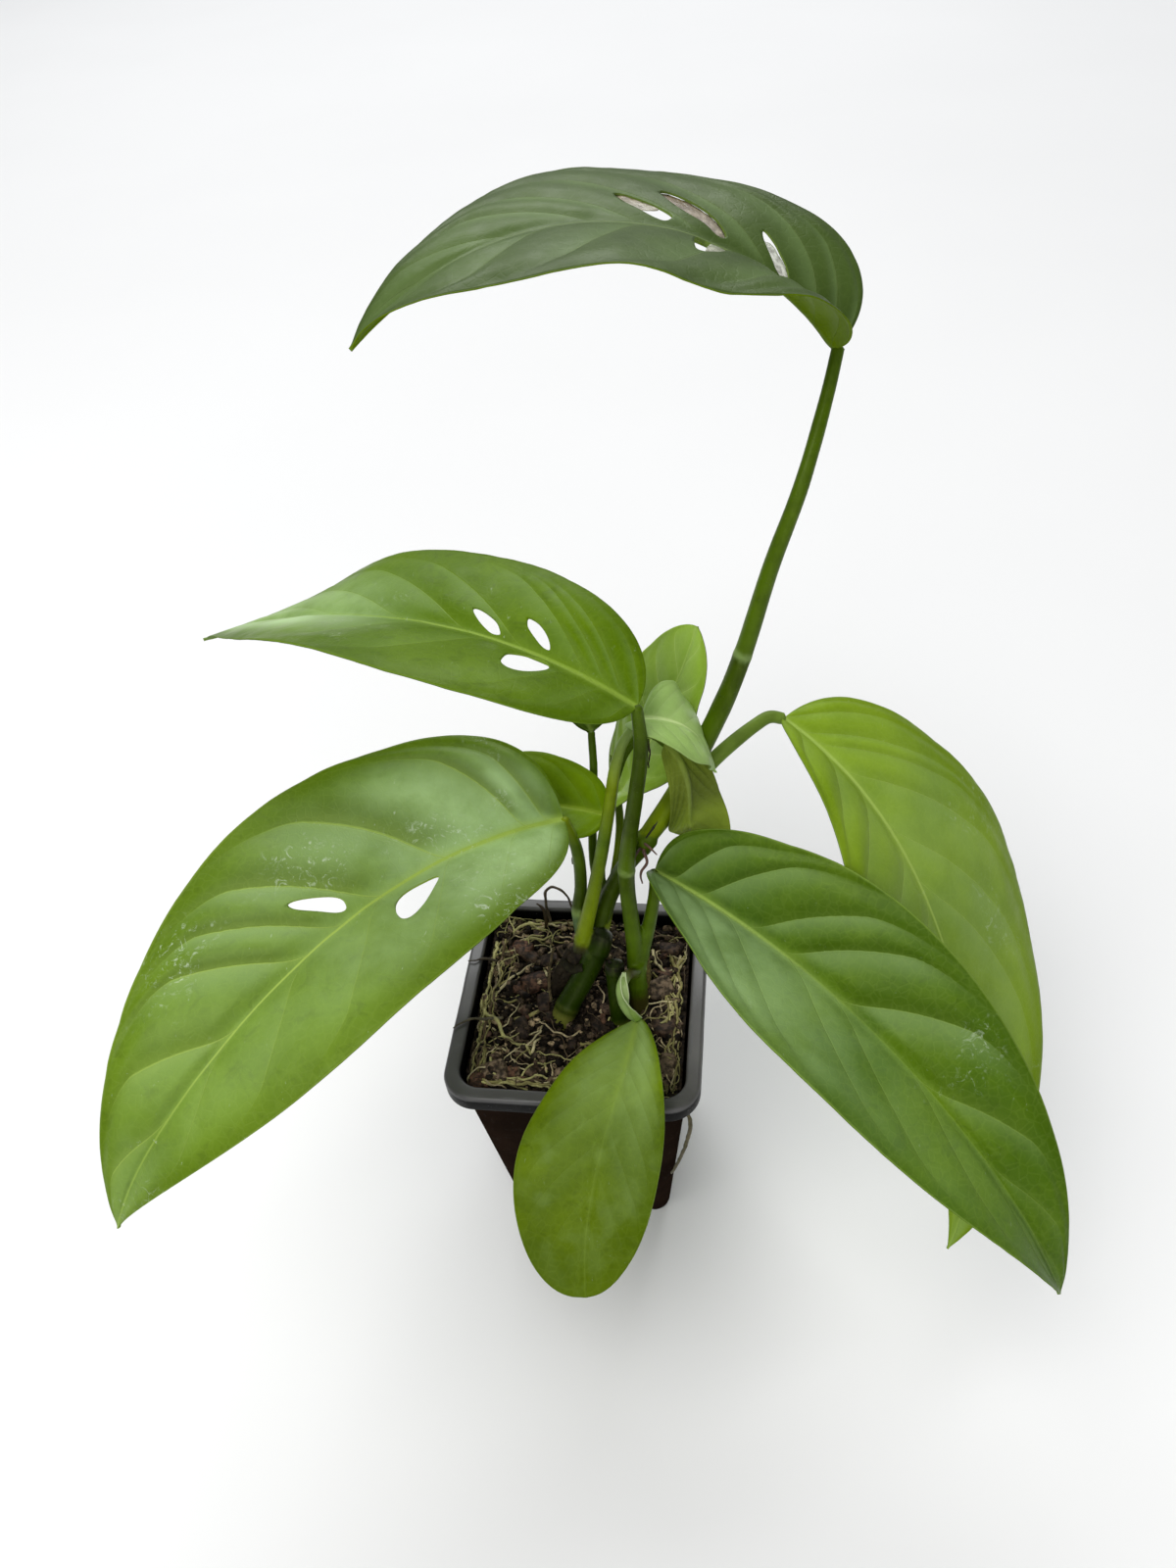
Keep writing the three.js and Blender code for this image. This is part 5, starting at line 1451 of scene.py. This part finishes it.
def make_air_roots(material):
    parts, colours = [], []
    for i, piece in enumerate(AIR_ROOTS):
        line = spline(piece["route"], 0.6)
        line[:, :3] += 0.18 * wobble3(line[:, :3], 0.5, 400 + 3 * i)
        line[:, 3] *= 1 + 0.2 * wobble(line[:, :3], 0.9, 440 + i)
        verts, faces = tube(line, 8)
        parts.append((verts, faces))
        colours.append(np.array(piece["colour"]) * (1 + 0.4 * wobble(verts, 0.7, 460 + i)[:, None]))
    thing = add_parts("air_roots", parts, colours, material)


def make_wing(material):
    line = spline(WING, 0.35)
    columns = 16
    verts, faces = ribbon(line, 0.3, 55, columns, (185, 175, 150, 80, 10, 0))
    t = np.tile(np.repeat(np.linspace(0, 1, len(line)), columns + 1), 2)[:, None]
    side = np.tile(np.linspace(-1, 1, columns + 1), 2 * len(line))[:, None]
    edge = step(0.75, 1.0, np.abs(side))
    pale = np.array((0.36, 0.46, 0.20)) * (1 - t) + np.array((0.17, 0.28, 0.04)) * t
    paint = pale * (1 - edge) + np.array((0.55, 0.64, 0.36)) * edge
    thing = add_object("rolled_wing", verts, faces, [material], paint)


def make_films(name, leaf, material):
    """Dry skin that still spans parts of the holes."""
    blade = Blade(leaf)
    parts, colours = [], []
    turns, rings = 40, 7
    for i, film in enumerate(leaf["films"]):
        curve = closed_curve(film["edge"], turns)
        middle = curve.mean(axis=0)
        rows = [middle + (curve - middle) * r for r in np.linspace(0.0, 1.07, rings)[1:]]
        flat = np.concatenate([[middle], *rows])
        place = blade.point(flat[:, 0], flat[:, 1])
        up = blade.normal(flat[:, 0], flat[:, 1])
        crease = 0.16 * wobble(place, 0.5, 500 + i) + 0.1 * wobble(place, 1.4, 510 + i)
        top = place + up * (crease - 0.2)[:, None]
        verts = np.concatenate([top, top - up * 0.12])
        shift = len(flat)
        faces = []
        for j in range(turns):
            k = (j + 1) % turns
            faces.append((0, 1 + j, 1 + k))
            faces.append((shift, shift + 1 + k, shift + 1 + j))
            for r in range(rings - 2):
                a, b = 1 + r * turns, 1 + (r + 1) * turns
                faces.append((a + j, b + j, b + k, a + k))
                faces.append((shift + a + j, shift + a + k, shift + b + k, shift + b + j))
            last = 1 + (rings - 2) * turns
            faces.append((last + j, shift + last + j, shift + last + k, last + k))
        parts.append((verts, faces))
        span = np.abs(flat[:, 1])
        w = step(span.min(), span.max(), span)[:, None]
        streak = np.clip(wobble(place, 0.9, 520 + i) * 1.5, -1, 1)[:, None]
        shade = (np.array(film["near"]) * (1 - w) + np.array(film["far"]) * w) * (1 + 0.35 * streak)
        colours.append(np.concatenate([shade, shade]))
    thing = add_parts(name + "_films", parts, colours, material)
    face_outwards(thing.data)


# Stage, light and camera

def area_light(name, at, aim, size, power, colour):
    data = bpy.data.lights.new(name, "AREA")
    data.shape = "RECTANGLE"
    data.size, data.size_y = size
    data.energy = power
    data.color = colour
    lamp = linked(name, data)
    lamp.location = at
    lamp.rotation_euler = (Vector(aim) - Vector(at)).to_track_quat("-Z", "Y").to_euler()


def make_stage():
    shader = Shader("floor_paper", 0.9, 0.2)
    cloud = shader.ramp(shader.noise(2.0, 3.0), 0.3, 0.7)
    shader.set("Base Color", shader.mix(cloud, (0.84, 0.84, 0.84), (0.86, 0.86, 0.86)))
    mesh = bpy.data.meshes.new("floor")
    mesh.from_pydata([(-6, -6, 0), (6, -6, 0), (6, 6, 0), (-6, 6, 0)], [], [(0, 1, 2, 3)])
    mesh.materials.append(shader.material)
    floor = linked("floor", mesh)
    world = bpy.data.worlds.new("studio")
    world.use_nodes = True
    back = world.node_tree.nodes["Background"]
    back.inputs[0].default_value = (0.96, 0.98, 1.0, 1)
    back.inputs[1].default_value = 0.28
    bpy.context.scene.world = world
    bpy.context.scene.view_settings.view_transform = "Standard"
    area_light("key", (-0.5, -0.5, 1.4), (0, 0, 0.12), (1.1, 1.1), 15, (1.0, 0.99, 0.97))
    area_light("back", (-0.35, 2.1, 2.3), (0, 0, 0.12), (2.6, 2.0), 60, (0.98, 0.99, 1.0))
    area_light("fill", (0.35, -1.3, 0.75), (0, 0, 0.12), (1.4, 1.0), 6, (1.0, 1.0, 1.0))


def make_camera():
    rows = np.array([CAMERA_RIGHT, CAMERA_DOWN, CAMERA_AHEAD])
    left, _, right = np.linalg.svd(rows)
    rows = left @ right
    data = bpy.data.cameras.new("camera")
    data.sensor_fit = "VERTICAL"
    data.sensor_height = SENSOR_HEIGHT
    data.lens = FOCAL_PX / PICTURE_HEIGHT_PX * SENSOR_HEIGHT
    data.clip_start = 0.01
    data.clip_end = 50.0
    camera = linked("camera", data)
    turn = Matrix((rows[0], -rows[1], -rows[2])).transposed().to_4x4()
    camera.matrix_world = Matrix.Translation(Vector(CAMERA_AT) * MM) @ turn
    bpy.context.scene.camera = camera


make_camera()
make_stage()
for leaf_name, leaf_values in LEAVES.items():
    top_skin = leaf_material(leaf_name + "_skin", leaf_values)
    under_skin = under_material(leaf_name + "_under", leaf_values)
    make_leaf(leaf_name, leaf_values, top_skin, under_skin)
stem_skin = stem_material()
make_stems("stems_left", "vine_left", VINE_LEFT, 0.42, stem_skin)
make_stems("stems_right", "vine_right", VINE_RIGHT, 0.42, stem_skin)
make_stems("stub", "stem_stub", STEM_STUB, 0.3, stem_skin)
make_pot(pot_material())
make_ground(painted_material("mix_earth", 0.75, 800.0, 0.9, 0.0003, (0.002, 0.0015, 0.001), 0.1))
make_crumbs(painted_material("mix_crumb", 0.7, 900.0, 0.85, 0.0002, (0.003, 0.002, 0.0015), 0.12))
make_bark(painted_material("mix_chips", 0.6, 600.0, 0.85, 0.0003, (0.004, 0.003, 0.002), 0.12))
make_roots(painted_material("mix_root", 0.5, 900.0, 0.35, 0.0001, (0.05, 0.04, 0.015), 0.2))
make_air_roots(painted_material("air_root", 0.5, 900.0, 0.45, 0.0001, (0.012, 0.008, 0.004)))
make_scraps(painted_material("dry_sheath", 0.7, 600.0, 0.6, 0.0003, gloss=0.15))
make_wing(painted_material("wing_skin", 0.42, 500.0, 0.15, 0.0001, (0.16, 0.26, 0.05)))
film_skin = painted_material("dry_film", 0.35, 700.0, 0.45, 0.0002, (0.05, 0.035, 0.02))
make_films("leaf_top", LEAVES["leaf_top"], film_skin)
